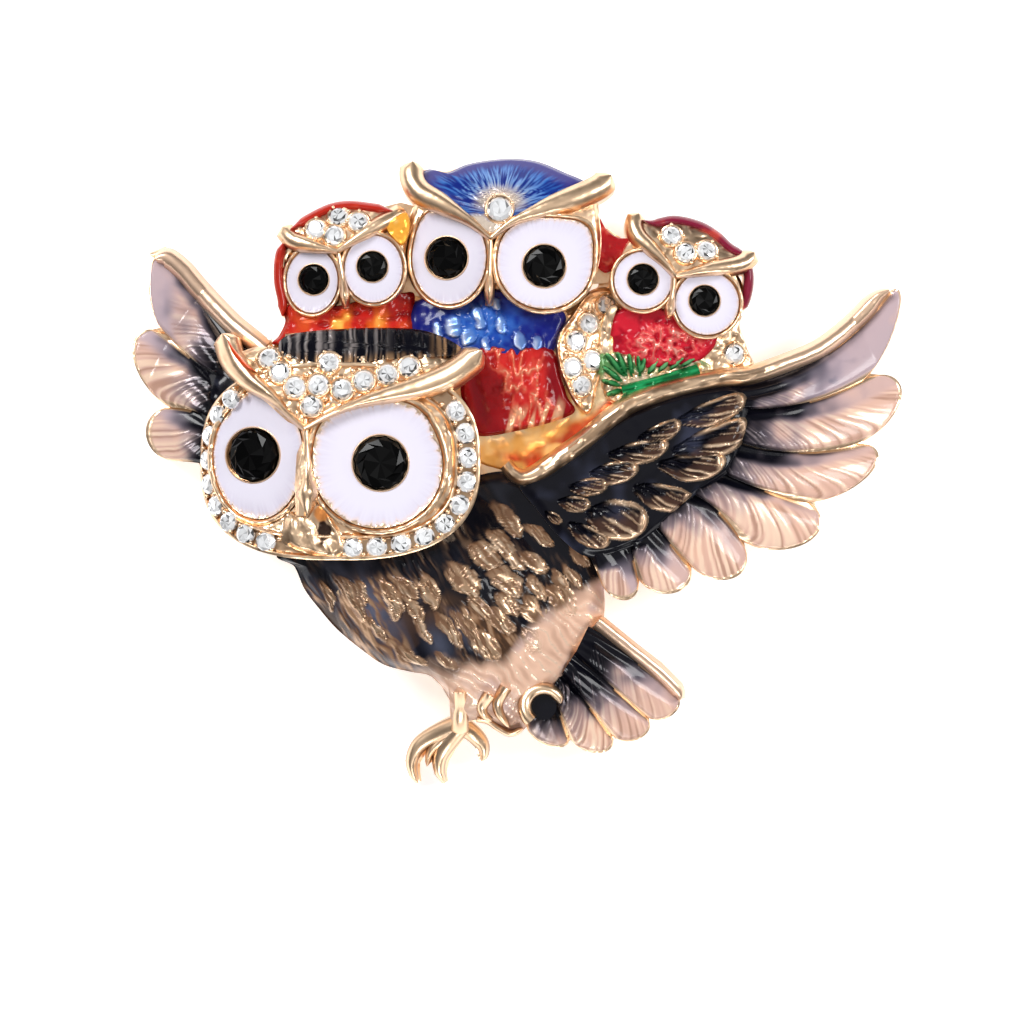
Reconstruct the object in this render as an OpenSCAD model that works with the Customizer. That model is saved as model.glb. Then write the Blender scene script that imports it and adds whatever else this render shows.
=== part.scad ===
// Owl family brooch: one plated casting with enamel cells, cut stones and a bar pin behind.
// It lies on its back. +X is to the right of the front view, +Y up the front view, +Z to the viewer.

/* [Dome] */
// Height of the hollow back above the surface, at its middle
dome_lift = 5; // [4:0.1:6.5]
// How far the dome reaches to each side before it meets the surface
dome_reach_x = 31; // [27:0.5:36]
// How far the dome reaches up and down before it meets the surface
dome_reach_y = 25.2; // [22:0.2:30]

/* [Mother owl] */
// Width of the face
face_w = 22.4; // [19:0.2:25]
// Height of the face over the surface
face_top = 10.2; // [9:0.1:12]
// Height of the brow ridge over the face
brow_rise = 1.1; // [0.6:0.1:1.8]
// Length of the body, from the neck to the rump
body_l = 25.6; // [23:0.2:28]
// Height of the body's crest over its back
body_rise = 5.4; // [4:0.1:7]

/* [Wings and tail] */
// Length of the right wing, from the shoulder to the longest feather
wing_l = 31; // [27:0.5:33]
// Length of the left wing that shows beside the head
left_wing_l = 19; // [16:0.5:22]
// Length of the tail
tail_l = 11; // [9:0.2:13]
// Thickness of the wings and the tail at a feather's low edge
plate_t = 1.5; // [1.2:0.1:2.2]
// Height of a feather's raised edge over its low edge
feather_rise = 0.7; // [0.4:0.1:1.1]

/* [Owlets] */
// Width of the middle owlet's face
middle_face_w = 15.6; // [14:0.1:17]
// Width of the left owlet's face
left_face_w = 10; // [9:0.1:11]
// Width of the right owlet's face
right_face_w = 10.4; // [9.4:0.1:11.4]
// Height of the middle owlet's face over the surface
middle_face_top = 7.9; // [7.2:0.1:9]
// Height of the small owlets' faces over the surface
small_face_top = 6.9; // [6.2:0.1:8]

/* [Enamel] */
// Thickness of the enamel in its cells
enamel_t = 0.45; // [0.3:0.05:0.7]
// Gap between the enamel and the metal under it
enamel_gap = 0.1; // [0.08:0.01:0.16]

/* [Stones] */
// Diameter of the stones of the mother's halo and brow
halo_stone_d = 1.65; // [1.4:0.05:1.75]
// Diameter of the owlets' stones
small_stone_d = 1.6; // [1.3:0.05:1.7]
// Diameter of the stone on the middle owlet's brow
brow_stone_d = 2; // [1.6:0.05:2.2]
// Diameter of the mother's pupils
mother_pupil_d = 4.3; // [3.6:0.1:4.8]
// Diameter of the middle owlet's pupils
middle_pupil_d = 3.3; // [2.8:0.1:3.6]
// Diameter of the small owlets' pupils
small_pupil_d = 2.4; // [2:0.1:2.6]
// Gap round a stone in its seat
stone_gap = 0.06; // [0.05:0.01:0.1]
// Depth of a clear stone's seat
seat_depth = 0.45; // [0.3:0.05:0.6]

/* [Feet] */
// Thickness of a toe
toe_d = 1.25; // [0.9:0.05:1.5]
// Radius of the curled claw
curl_r = 1.45; // [1.2:0.05:1.8]

/* [Bar pin] */
// Length of the bar pin
pin_l = 26; // [20:0.5:30]
// Width of the flat bar
bar_w = 3.2; // [2.6:0.1:4]
// Thickness of the flat bar
bar_t = 0.6; // [0.5:0.05:0.8]
// Diameter of the pin stem
stem_d = 0.9; // [0.7:0.05:1.1]
// Clear gap between the bar and the stem, where the cloth goes
cloth_gap = 1.6; // [1.2:0.1:1.9]

/* [Hidden] */
metal = "#d8ab78";
white = "#f3eef6";
blue = "#2a3fae";
red = "#b8181c";
green = "#12803a";
black = "#15151c";
blush = "#dcae98";
glass = "#e8ecf4";
steel = "#c9b183";

// Everything of the casting starts below the surface and the dome is then cut out of its back
cast_floor = -1;
// Height of the flat pad that carries the bar pin
pin_pad_z = 3.9;
// Places of the sub-assemblies, in the front view
mother_at = [-14.1, 0.8];
middle_at = [-1.2, 16.6];
left_at = [-13.9, 15.6];
right_at = [12.4, 14.4];
wing_at = [0.3, -0.6];
left_wing_at = [-22.2, 6];
tail_at = [4, -15];
body_at = [-5.5, -9.4];
pin_at = [-1, 5];

// Bends of the feathers across and along, and the share of the rim in them
across = 5;
along = [0, 0.1, 0.45, 0.88, 1];

function unit(p) = p / norm(p);
function blend(a, b, t) = a + (b - a) * t;
function back_z(p) = dome_lift * (1 - pow(min(1, pow(p.x / dome_reach_x, 2)
    + pow(p.y / dome_reach_y, 2)), 1.5));

// A bowed line from a to b: bow is its sagitta as a share of its length, to the left of the way
function bowed(a, b, bow, t) = blend(a, b, t) + [a.y - b.y, b.x - a.x] * bow * 4 * t * (1 - t);

// A table's shares of one size, set down round a place
function placed(at, size, shares) = [for (s = shares) at + [s.x, s.y] * size];

// The closed faces of a grid, of a ringed pad and of a ringed band, seen from outside
function turned(faces, flip) = [for (f = faces) flip ? f : [f[0], f[2], f[1]]];
function quad(a, b, c, d) = [[a, b, c], [a, c, d]];

// A solid between two grids of points, row by row
module grid_solid(top, under) {
    n = len(top);
    m = len(top[0]);
    low = n * m;
    i0 = floor((n - 1) / 2);
    j0 = floor((m - 1) / 2);
    u = top[i0 + 1][j0] - top[i0][j0];
    v = top[i0][j0 + 1] - top[i0][j0];
    flip = u.x * v.y - u.y * v.x < 0;
    faces = [
        for (i = [0:n - 2], j = [0:m - 2])
            let (a = i * m + j, b = a + m, c = b + 1, d = a + 1)
                each concat(quad(a, b, c, d), quad(low + a, low + d, low + c, low + b)),
        for (i = [0:n - 2], j = [0, m - 1])
            let (a = i * m + j, b = a + m)
                each j == 0 ? quad(low + a, low + b, b, a) : quad(low + b, low + a, a, b),
        for (j = [0:m - 2], i = [0, n - 1])
            let (a = i * m + j, d = a + 1)
                each i == 0 ? quad(low + d, low + a, a, d) : quad(low + a, low + d, d, a)
    ];
    polyhedron([for (r = top) each r, for (r = under) each r], turned(faces, flip));
}

// A solid of rings round a middle point, above and below; each list of rings runs inward
module pad_solid(top, apex, under, nadir) {
    n = len(top[0]);
    k = len(top);
    l = len(under);
    low = k * n;
    tip = (k + l) * n;
    faces = [
        for (r = [0:k - 2], j = [0:n - 1])
            let (a = r * n + j, b = r * n + (j + 1) % n) each quad(a, b, b + n, a + n),
        for (j = [0:n - 1]) [(k - 1) * n + j, (k - 1) * n + (j + 1) % n, tip],
        if (l > 1) for (r = [0:l - 2], j = [0:n - 1])
            let (a = low + r * n + j, b = low + r * n + (j + 1) % n) each quad(a, a + n, b + n, b),
        for (j = [0:n - 1]) [low + (l - 1) * n + (j + 1) % n, low + (l - 1) * n + j, tip + 1],
        for (j = [0:n - 1])
            let (a = j, b = (j + 1) % n) each quad(low + a, low + b, b, a)
    ];
    polyhedron([for (r = top) each r, for (r = under) each r, apex, nadir], turned(faces, false));
}

// A solid of rings with a hole in the middle
module band_solid(top, under) {
    n = len(top[0]);
    k = len(top);
    low = k * n;
    faces = [
        for (r = [0:k - 2], j = [0:n - 1])
            let (a = r * n + j, b = r * n + (j + 1) % n)
                each concat(quad(a, b, b + n, a + n), quad(low + a, low + a + n, low + b + n, low + b)),
        for (j = [0:n - 1])
            let (a = j, b = (j + 1) % n) each quad(low + a, low + b, b, a),
        for (j = [0:n - 1])
            let (a = (k - 1) * n + j, b = (k - 1) * n + (j + 1) % n) each quad(low + b, low + a, a, b)
    ];
    polyhedron([for (r = top) each r, for (r = under) each r], turned(faces, false));
}

// An outline turned to run anticlockwise, and one ring of it drawn in toward a middle point
function turn_area(p, i = 0) =
    i == len(p) ? 0 : let (a = p[i], b = p[(i + 1) % len(p)]) a.x * b.y - a.y * b.x + turn_area(p, i + 1);
function anticlockwise(p) = turn_area(p) > 0 ? p : [for (i = [len(p) - 1:-1:0]) p[i]];
function ring(outline, middle, share, z) =
    [for (p = anticlockwise(outline)) let (q = blend(middle, p, share)) [q.x, q.y, z(q, share)]];

// A mound of the casting on an outline, down to the casting's floor
module mound(outline, middle, shares, z) {
    pad_solid(
        [for (s = shares) ring(outline, middle, s, z)],
        [middle.x, middle.y, z(middle, 0)],
        [ring(outline, middle, 1, function(p, s) cast_floor)],
        [middle.x, middle.y, cast_floor]
    );
}

// A mound whose middle is sunk to hold a field of stones, with a rim round it
module tray(outline, middle, z) {
    mound(outline, middle, [1, 0.94, 0.91, 0.4], function(p, s) z(p) - (s < 0.92 ? seat_depth + stone_gap
        : 0));
}

// A skin of enamel over the middle of such a mound
module skin(outline, middle, shares, z) {
    lift = function(p, s) z(p, s) + enamel_gap;
    cover = function(p, s) z(p, s) + enamel_gap + enamel_t * (s == shares[0] ? 0.5 : 1);
    pad_solid(
        [for (s = shares) ring(outline, middle, s, cover)],
        [middle.x, middle.y, cover(middle, 0)],
        [for (s = shares) ring(outline, middle, s, lift)],
        [middle.x, middle.y, lift(middle, 0)]
    );
}

// The way to the left of a path at its point i
function left_of(path, i) =
    let (d = unit(path[min(i + 1, len(path) - 1)] - path[max(i - 1, 0)])) [-d.y, d.x];

// A rounded ridge of metal along a path; half is its half width and top its height at each share of the way
module ridge(path, half, top) {
    n = len(path) - 1;
    side = [-1, -0.45, 0.45, 1];
    rise = [0.3, 1, 1, 0.3];
    grid_solid(
        [for (i = [0:n]) [for (k = [0:3])
            let (p = path[i] + left_of(path, i) * half(i / n) * side[k])
                [p.x, p.y, top(path[i], i / n) - half(i / n) * (1 - rise[k]) * 1.2]]],
        [for (i = [0:n]) [for (k = [0:3])
            let (p = path[i] + left_of(path, i) * half(i / n) * side[k])
                [p.x, p.y, cast_floor]]]
    );
}

// Fans of feathers: each row is one dividing line, as shares of the fan's length
// root x, root y, end x, end y, bow
wing_lines = [
    [0.577, 0.248, 0.958, 0.489, -0.112],
    [0.577, 0.181, 0.897, 0.265, -0.069],
    [0.558, 0.097, 0.874, 0.094, -0.081],
    [0.513, 0.019, 0.745, -0.058, -0.034],
    [0.429, -0.032, 0.565, -0.155, 0.090],
    [0.345, -0.110, 0.432, -0.216, -0.028],
    [0.281, -0.161, 0.300, -0.252, 0],
    [0.177, -0.194, 0.203, -0.258, 0]
];
left_wing_lines = [
    [-0.032, 0.242, -0.337, 0.589, -0.018],
    [-0.084, 0.074, -0.332, 0.279, 0.024],
    [-0.116, -0.095, -0.295, -0.042, -0.074],
    [-0.137, -0.284, -0.284, -0.268, -0.018]
];
tail_lines = [
    [0.218, 0.191, 0.800, -0.255, 0.022],
    [0.109, 0.000, 0.582, -0.418, -0.001],
    [0.000, -0.145, 0.327, -0.555, 0.011],
    [-0.100, -0.236, 0.018, -0.573, -0.001],
    [-0.236, -0.236, -0.300, -0.473, -0.045]
];
// How far each feather's round tip reaches past the ends of its lines
wing_tips = [0.07, 0.112, 0.10, 0.10, 0.085, 0.065, 0.058];
left_wing_tips = [0.085, 0.1615, 0.115];
tail_tips = [0.105, 0.125, 0.14, 0.115];

// One fan: place, length, lines, tips
// Where each feather's enamel starts: share of its length, share of its width
wing_starts = [[0.1, 0.22], [0.13, 0.1], [0.1, 0.1], [0.1, 0.1], [0.22, 0.1], [0.3, 0.1], [0.25, 0.1]];
left_wing_starts = [[0.1, 0.35], [0.2, 0.1], [0.32, 0.1]];
tail_starts = [[0.1, 0.1], [0.1, 0.1], [0.1, 0.1], [0.25, 0.1]];
wing_fan = [wing_at, wing_l, wing_lines, wing_tips, wing_starts];
left_fan = [left_wing_at, left_wing_l, left_wing_lines, left_wing_tips, left_wing_starts];
tail_fan = [tail_at, tail_l, tail_lines, tail_tips, tail_starts];
// How far a feather slips under its neighbour, as a share of its width
tuck = 0.08;

// The point at share u along dividing line k, and at shares u along and v across feather k
function fan_line(fan, k, u) =
    let (r = fan[2][k]) bowed(fan[0] + [r[0], r[1]] * fan[1], fan[0] + [r[2], r[3]] * fan[1], r[4], u);
function fan_way(fan, k) = unit(fan_line(fan, k, 1) - fan_line(fan, k, 0.8));
function fan_point(fan, k, u, v) =
    let (
        way = unit(fan_way(fan, k) + fan_way(fan, k + 1)),
        round = sqrt(max(0, 1 - pow(2 * v - 1, 2)))
    ) blend(fan_line(fan, k, u), fan_line(fan, k + 1, u), v) + way * fan[3][k] * fan[1] * round * pow(u, 3);

// A feather is low where it slips under its neighbour and high along its free edge
function feather_z(p, u, v) =
    back_z(p) + plate_t + feather_rise * (v < 0.9 ? 0.15 + 0.85 * sin(100 * max(v, 0)) : 0.7) * (1
        - 0.4 * pow(u, 4));
function across_at(j, n) = (1 - cos(180 * j / n)) / 2;

module cast_feather(fan, k) {
    vs = [for (j = [0:across]) j == 0 && k > 0 ? -tuck : across_at(j, across)];
    pts = [for (u = along) [for (v = vs) let (p = fan_point(fan, k, u, v)) [p.x, p.y, feather_z(p, u, v)]]];
    grid_solid(pts, [for (r = pts) [for (p = r) [p.x, p.y, cast_floor]]]);
}

// The enamel of one feather keeps off its edges by the rim
module feather_enamel(fan, k) {
    start = fan[4][k];
    us = [for (i = [1:len(along) - 2]) max(start[0], along[i])];
    vs = [for (j = [1:across - 1]) max(start[1], across_at(j, across))];
    last = [len(us) - 1, len(vs) - 1];
    low = [for (u = us) [for (v = vs)
        let (p = fan_point(fan, k, u, v)) [p.x, p.y, feather_z(p, u, v) + enamel_gap]]];
    grid_solid(
        [for (i = [0:last[0]]) [for (j = [0:last[1]])
            let (thin = i == 0 || i == last[0] || j == 0 || j == last[1])
                low[i][j] + [0, 0, enamel_t * (thin ? 0.5 : 1)]]],
        low
    );
}

// A cut stone: girdle, table and culet, with the culet on the floor of its seat
module gem(d, n, crown, deep) {
    girdle = [for (i = [0:n - 1]) [cos(360 * i / n), sin(360 * i / n), 0] * d / 2 + [0, 0, deep]];
    table = [for (i = [0:n - 1]) [cos(360 * (i + 0.5) / n), sin(360 * (i + 0.5) / n), 0] * d * 0.29
        + [0, 0, deep + crown]];
    polyhedron(concat(girdle, table, [[0, 0, 0]]), turned([
        for (i = [0:n - 1]) let (j = (i + 1) % n) each
            [[i, j, n + i], [j, n + j, n + i], [j, i, 2 * n]],
        for (i = [1:n - 2]) [n, n + i, n + i + 1]
    ], false));
}

// Sets its children on a surface, square to it
module set_on(p, z) {
    e = 0.1;
    n = unit([z(p - [e, 0]) - z(p + [e, 0]), z(p - [0, e]) - z(p + [0, e]), 2 * e]);
    translate([p.x, p.y, z(p)])
        rotate(acos(n.z), [-n.y, n.x, n.z == 1 ? 1 : 0])
            children();
}
module seats(points, z, d) {
    for (p = points) set_on(p, z)
        translate([0, 0, -seat_depth])
            cylinder(d = d + 2 * stone_gap, h = seat_depth + 1, $fn = 8);
}
module stones(points, z, d) {
    color(glass) for (p = points) set_on(p, z)
        translate([0, 0, stone_gap - seat_depth])
            gem(d, 8, d * 0.2, seat_depth);
}

// The mother's face is flat and turns away to her left side
turn_x = mother_at.x - 0.138 * face_w;
turn_r = 0.406 * face_w;
function turn_fall(x) = x > turn_x ? 0 : turn_r - sqrt(pow(turn_r, 2) - pow(min(turn_x
    - x, turn_r * 0.92), 2));
mother_z = function(p, s = 0) face_top - turn_fall(p.x);
forehead_z = function(p, s = 0) mother_z(p) + 0.35 - 0.1 * pow(max(0, p.y - mother_at.y - 0.25 * face_w), 2);

// The face is a squared oval; the halo's stones stand in a channel inside its rim
halo_n = 28;
halo_in = halo_stone_d / 2 + 0.12;
halo_deep = 0.64;
function halo_r(a) = face_w / pow(pow(abs(cos(a)) / 0.5, 2.6) + pow(abs(sin(a)) / 0.348, 2.6), 1 / 2.6);
function halo_slope(a) = let (d = max(0, turn_x - mother_at.x - cos(a) * (halo_r(a) - halo_in)))
    d / sqrt(turn_r * turn_r - d * d);
function halo_point(a, inset) =
    mother_at + [cos(a), sin(a)] * (halo_r(a) - inset / sqrt(1 + pow(halo_slope(a) * cos(a), 2)));
function halo_ring(inset, rise) = [for (i = [0:halo_n - 1])
    let (a = 360 * i / halo_n, p = halo_point(a, inset)) [p.x, p.y, mother_z(p) + rise
        - (sin(a) > 0.58 ? 1 : 0)]];
// The same outline seen from above, for columns that keep enamel off the head
function halo_outline(inset) = [for (i = [0:halo_n - 1]) halo_point(360 * (i + 0.4) / halo_n, inset)];
// Angles of the stones, spaced evenly along the rim
halo_right_angles = [23, 12.3, 1.6, -9.1, -19.8, -30.5, -41.2, -52.7, -65.7, -80.5];
halo_left_angles = [150, 159.1, 168.9, 179.2, 189.6, 199.5, 208.6, 217.9, 228];
halo_right = [for (a = halo_right_angles) halo_point(a, halo_in)];
halo_left = [for (a = halo_left_angles) halo_point(a, halo_in)];
halo_z = function(p, s = 0) mother_z(p);

// Outlines and paths of the mother's head, as shares of the face's width
mother_brow_left = [
    [-0.116, 0.109], [-0.176, 0.163], [-0.237, 0.225], [-0.317, 0.286], [-0.384, 0.362], [-0.411, 0.451]
];
mother_brow_right = [
    [-0.116, 0.109], [-0.022, 0.156], [0.067, 0.194], [0.170, 0.221], [0.299, 0.250], [0.397, 0.290],
    [0.460, 0.339], [0.504, 0.384]
];
forehead_shape = [
    [-0.397, 0.348], [-0.330, 0.388], [-0.188, 0.406], [-0.031, 0.400], [0.076, 0.382], [0.183, 0.393],
    [0.379, 0.379], [0.442, 0.339], [0.299, 0.259], [0.170, 0.232], [0.063, 0.201], [-0.018, 0.165],
    [-0.116, 0.116], [-0.179, 0.170], [-0.263, 0.246]
];
nape_shape = [
    [-0.188, 0.388], [-0.192, 0.451], [-0.040, 0.469], [0.138, 0.473], [0.317, 0.455], [0.388, 0.406],
    [0.272, 0.388], [0.138, 0.384], [0.031, 0.393], [-0.031, 0.406], [-0.094, 0.397]
];
brow_stone_places = [
    [-0.257, 0.366], [-0.208, 0.310], [-0.150, 0.257], [-0.067, 0.268], [-0.029, 0.348], [-0.092, 0.194],
    [0.016, 0.252], [0.094, 0.283], [0.174, 0.304], [0.252, 0.330]
];
beak_line = [[-0.116, 0.135], [-0.116, 0.02], [-0.118, -0.09], [-0.127, -0.192]];
chin_shape = [
    [-0.232, -0.235], [-0.205, -0.16], [-0.125, -0.12], [-0.045, -0.155], [0.01, -0.255], [0.02, -0.328],
    [-0.08, -0.328], [-0.2, -0.305]
];

// Eyes: disc centre, disc radii and pupil centre as shares of the face's width, then its slope
// centre x, centre y, radius x, radius y, pupil x, pupil y, slope
mother_eyes = [
    [-0.281, 0.018, 0.157, 0.220, -0.300, 0.022, 0.42],
    [0.140, -0.014, 0.226, 0.219, 0.150, -0.006, 0]
];
middle_eyes = [
    [-0.269, 0.026, 0.188, 0.236, -0.282, 0.026, 0.3],
    [0.218, -0.006, 0.238, 0.230, 0.215, -0.019, 0]
];
left_eyes = [
    [-0.240, -0.040, 0.200, 0.250, -0.230, -0.030, 0.25],
    [0.250, 0.050, 0.225, 0.262, 0.240, 0.070, 0]
];
right_eyes = [
    [-0.231, 0.077, 0.215, 0.215, -0.231, 0.087, 0],
    [0.260, -0.096, 0.230, 0.230, 0.240, -0.077, -0.1]
];

// One eye's middle, its rings and the plane its enamel lies on
eye_rim = 0.45;
eye_rise = 0.5;
pupil_deep = 0.6;
function eye_plane(e, at, w, z, p) = z + e[6] * min(0, p.x - at.x - e[0] * w - e[2] * w);
function eye_ring(e, at, w, n, grow, z, rise) = [for (i = [0:n - 1])
    let (a = 360 * i / n, p = at + [e[0] * w + (e[2] * w + grow) * cos(a), e[1] * w + (e[3] * w
        + grow) * sin(a)])
        [p.x, p.y, eye_plane(e, at, w, z, p) + rise]];
function pupil_ring(e, at, w, n, d, z, rise) = [for (i = [0:n - 1])
    let (a = 360 * i / n, p = at + [e[4], e[5]] * w + [cos(a), sin(a)] * d / 2)
        [p.x, p.y, eye_plane(e, at, w, z, p) + rise]];
module eye_metal(e, at, w, n, d, z) {
    seat = d + 2 * stone_gap;
    mid = at + [e[4], e[5]] * w;
    outer = eye_ring(e, at, w, n, eye_rim, z, 0.1);
    pad_solid(
        [
            outer,
            eye_ring(e, at, w, n, eye_rim * 0.45, z, eye_rise),
            eye_ring(e, at, w, n, 0, z, 0),
            pupil_ring(e, at, w, n, seat, z, 0),
            pupil_ring(e, at, w, n, seat * 0.98, z, -pupil_deep)
        ],
        [mid.x, mid.y, eye_plane(e, at, w, z, mid) - pupil_deep],
        [[for (p = outer) [p.x, p.y, cast_floor]]],
        [mid.x, mid.y, cast_floor]
    );
}
module eye_white(e, at, w, n, d, z) {
    inner = d + 2 * stone_gap + 0.2;
    color(white) difference() {
        band_solid(
            [eye_ring(e, at, w, n, -enamel_gap, z, enamel_t * 0.6), pupil_ring(e, at, w, n, inner, z,
                enamel_t)],
            [eye_ring(e, at, w, n, -enamel_gap, z, enamel_gap), pupil_ring(e, at, w, n, inner, z, enamel_gap)]
        );
        children();
    }
}
module pupil(e, at, w, n, d, z) {
    mid = at + [e[4], e[5]] * w;
    color(black) translate([mid.x, mid.y, eye_plane(e, at, w, z, mid)])
        rotate([0, -atan(e[6]), 0])
            translate([0, 0, stone_gap - pupil_deep])
                gem(d, n, d * 0.14, pupil_deep + enamel_t * 0.6);
}

module mother_head() {
    chin = placed(mother_at, face_w, chin_shape);
    color(metal) {
        pad_solid(
            [
                halo_ring(0, 0), halo_ring(0.1, -halo_deep),
                halo_ring(2 * halo_in
                    - 0.12, -halo_deep), halo_ring(2 * halo_in, 0), halo_ring(2.6 * halo_in, -1.6)
            ],
            [mother_at.x, mother_at.y, face_top - 1.6],
            [[for (p = halo_ring(0, 0)) [p.x, p.y, cast_floor]]],
            [mother_at.x, mother_at.y, cast_floor]
        );
        difference() {
            union() for (e = mother_eyes) eye_metal(e, mother_at, face_w, 20, mother_pupil_d, face_top);
            halo_wall(0);
        }
        tray(placed(mother_at, face_w, forehead_shape), forehead_mid, forehead_z);
        mound(placed(mother_at, face_w, nape_shape), nape_mid, [1, 0.9, 0.5], nape_z);
        mound(chin, mother_at + [-0.11, -0.24] * face_w, [1, 0.6],
            function(p, s) mother_z(p) + 0.45 - 0.5 * pow(s, 2));
        mother_ridges(0);
    }
}
// The ring that holds the stones round the head, as a column whose inside is grown inwards
module halo_wall(grow) {
    difference() {
        linear_extrude(height = 20) polygon(halo_outline(-5));
        translate([0, 0, -1]) linear_extrude(height = 22)
            polygon(halo_outline(2 * halo_in + 0.05 + grow));
    }
}
// The brows and the beak, grown by an allowance
module mother_ridges(grow) {
    for (b = [mother_brow_left, mother_brow_right])
        ridge(placed(mother_at, face_w, b),
            function(t) blend(0.34, 0.8, t) * min(1, 8 * (1 - t) + 0.15) + grow,
            function(p, t) mother_z(p) + brow_rise + 0.3 * t + 2 * grow);
    ridge(placed(mother_at, face_w, beak_line),
        function(t) 0.3 + 0.45 * sin(160 * t) + grow,
        function(p, t) mother_z(p) + 0.8 + 1.3 * sin(120 * t) + 2 * grow);
}
forehead_mid = mother_at + [-0.06, 0.28] * face_w;
nape_mid = mother_at + [0.1, 0.43] * face_w;
nape_z = function(p, s = 0) forehead_z(p) + 0.1;
module nape_enamel() {
    color(black) difference() {
        skin(placed(mother_at, face_w, nape_shape), nape_mid, [0.9, 0.5], nape_z);
        mother_ridges(enamel_gap);
        column(placed(mother_at, face_w, forehead_shape), forehead_mid, 1.02);
    }
}
// What keeps the eye enamel off its neighbours
module mother_over() {
    mother_ridges(enamel_gap);
    halo_wall(0.4);
    column(placed(mother_at, face_w, chin_shape), mother_at + [-0.11, -0.24] * face_w, 1.04);
}
module halo_stones(points) { stones(points, halo_z, halo_stone_d); }

// The mother's body: a crest from the neck to the rump, over the dome
body_dir = [0.64, -0.77];
function body_along(p) = (p - body_at) * body_dir;
function body_across(p) = (p - body_at) * [0.77, 0.64];
body_z = function(p, s = 0) max(
    back_z(p) + plate_t - 0.2,
    dome_lift + body_rise - 0.9 - 0.028 * pow(body_along(p), 2) - 0.06 * pow(body_across(p), 2)
);
body_shape = [
    [-0.520, 0.117], [-0.477, 0.070], [-0.447, 0.000], [-0.400, -0.062], [-0.346, -0.125], [-0.281, -0.178],
    [-0.203, -0.230], [-0.121, -0.250], [-0.059, -0.262], [-0.020, -0.301], [0.006, -0.348], [0.010, -0.414],
    [0.066, -0.414], [0.113, -0.410], [0.160, -0.438], [0.195, -0.457], [0.230, -0.445], [0.301, -0.328],
    [0.363, -0.289], [0.441, -0.187], [0.484, -0.098], [0.457, 0.051], [0.410, 0.199], [0.199, 0.352],
    [-0.199, 0.250]
];
// Tufts: root x, root y, tip x, tip y and width
body_tufts = [
    [-0.32, 0.035, -0.30, -0.055, 0.06], [-0.19, 0.02, -0.165, -0.065, 0.06],
    [-0.08, 0.055, -0.06, -0.04, 0.07], [0.0, 0.095, 0.03, 0.0, 0.07],
    [0.10, 0.15, 0.15, 0.06, 0.07], [0.16, 0.26, 0.215, 0.17, 0.07],
    [0.265, 0.215, 0.315, 0.12, 0.07], [-0.10, -0.095, -0.065, -0.17, 0.06],
    [0.025, -0.085, 0.06, -0.16, 0.07], [0.15, -0.055, 0.18, -0.145, 0.07],
    [0.255, -0.04, 0.29, -0.13, 0.07], [0.17, 0.075, 0.205, -0.01, 0.06]
];
// A raised leaf of metal from root to tip, grown on every side by an allowance
module leaf(row, at, size, z, rise, grow) {
    root = at + [row[0], row[1]] * size;
    tip = at + [row[2], row[3]] * size;
    turn = atan2(tip.y - root.y, tip.x - root.x);
    hull() {
        for (place = [[blend(root, tip, 0.4), 0.6, 4], [tip, 0.25, 3]])
            translate([place[0].x, place[0].y, cast_floor])
                rotate(turn)
                    cylinder(r = place[1] * row[4] * size + grow, h = z(place[0]) + rise
                        - cast_floor, $fn = place[2]);
    }
}
module mother_body() {
    color(metal) {
        mound(placed(body_at, body_l, body_shape), body_at, [1, 0.92, 0.72, 0.45], body_z);
        for (t = body_tufts) leaf(t, body_at, body_l, body_z, enamel_t + 0.35, 0);
    }
}
// The part of the body that the wing and the saddle cover
under_wing = [
    [-0.098, 0.680], [0.082, 0.383], [0.191, 0.309], [0.262, 0.262], [0.316, 0.172], [0.406, 0.094],
    [0.445, 0.023], [0.684, -0.102], [0.684, 0.680]
];
module body_enamel() {
    color(black) difference() {
        skin(placed(body_at, body_l, body_shape), body_at, [0.92, 0.72, 0.45], body_z);
        for (t = body_tufts) leaf(t, body_at, body_l, body_z, 3, enamel_gap);
        linear_extrude(height = 20) polygon(halo_outline(-1.5 * enamel_gap));
        linear_extrude(height = 20) polygon(placed(body_at, body_l, under_wing));
        column(placed(wing_at, wing_l, shoulder_shape), shoulder_mid, 1.04);
        column(placed(mother_at, face_w, chin_shape), mother_at + [-0.11, -0.24] * face_w, 1.06);
        toe_ridges(enamel_gap);
    }
}

// The right wing: shoulder plate with coverts, feathers and the ridge along its leading edge
shoulder_shape = [
    [0.045, -0.04], [0.100, 0.012], [0.255, 0.122], [0.420, 0.198], [0.597, 0.23], [0.603, 0.181],
    [0.585, 0.097],
    [0.535, 0.019], [0.455, -0.035], [0.36, -0.115], [0.295, -0.17], [0.177, -0.2], [0.095, -0.142]
];
shoulder_mid = wing_at + [0.33, 0.02] * wing_l;
shoulder_z = function(p, s = 0) back_z(p) + plate_t + feather_rise + 0.5 - 0.3 * s;
covert_z = function(p, s = 0) back_z(p) + plate_t + feather_rise + 0.5;
coverts = [
    [0.410, 0.151, 0.585, 0.210, 0.050], [0.396, 0.074, 0.590, 0.139, 0.055],
    [0.360, 0.030, 0.520, 0.045, 0.052],
    [0.300, -0.026, 0.429, -0.050, 0.05], [0.190, -0.100, 0.320, -0.100, 0.09],
    [0.135, -0.130, 0.225, -0.165, 0.045],
    [0.316, 0.110, 0.400, 0.135, 0.045], [0.245, 0.060, 0.365, 0.085, 0.05],
    [0.197, 0.010, 0.290, 0.030, 0.045],
    [0.142, -0.025, 0.210, -0.015, 0.04], [0.110, -0.060, 0.165, -0.060, 0.035]
];
wing_ridge = [
    [-0.029, 0.026], [0.019, 0], [0.100, 0.058], [0.239, 0.168], [0.306, 0.203], [0.413, 0.239],
    [0.590, 0.265], [0.765, 0.326], [0.884, 0.416], [0.952, 0.484]
];
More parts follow.
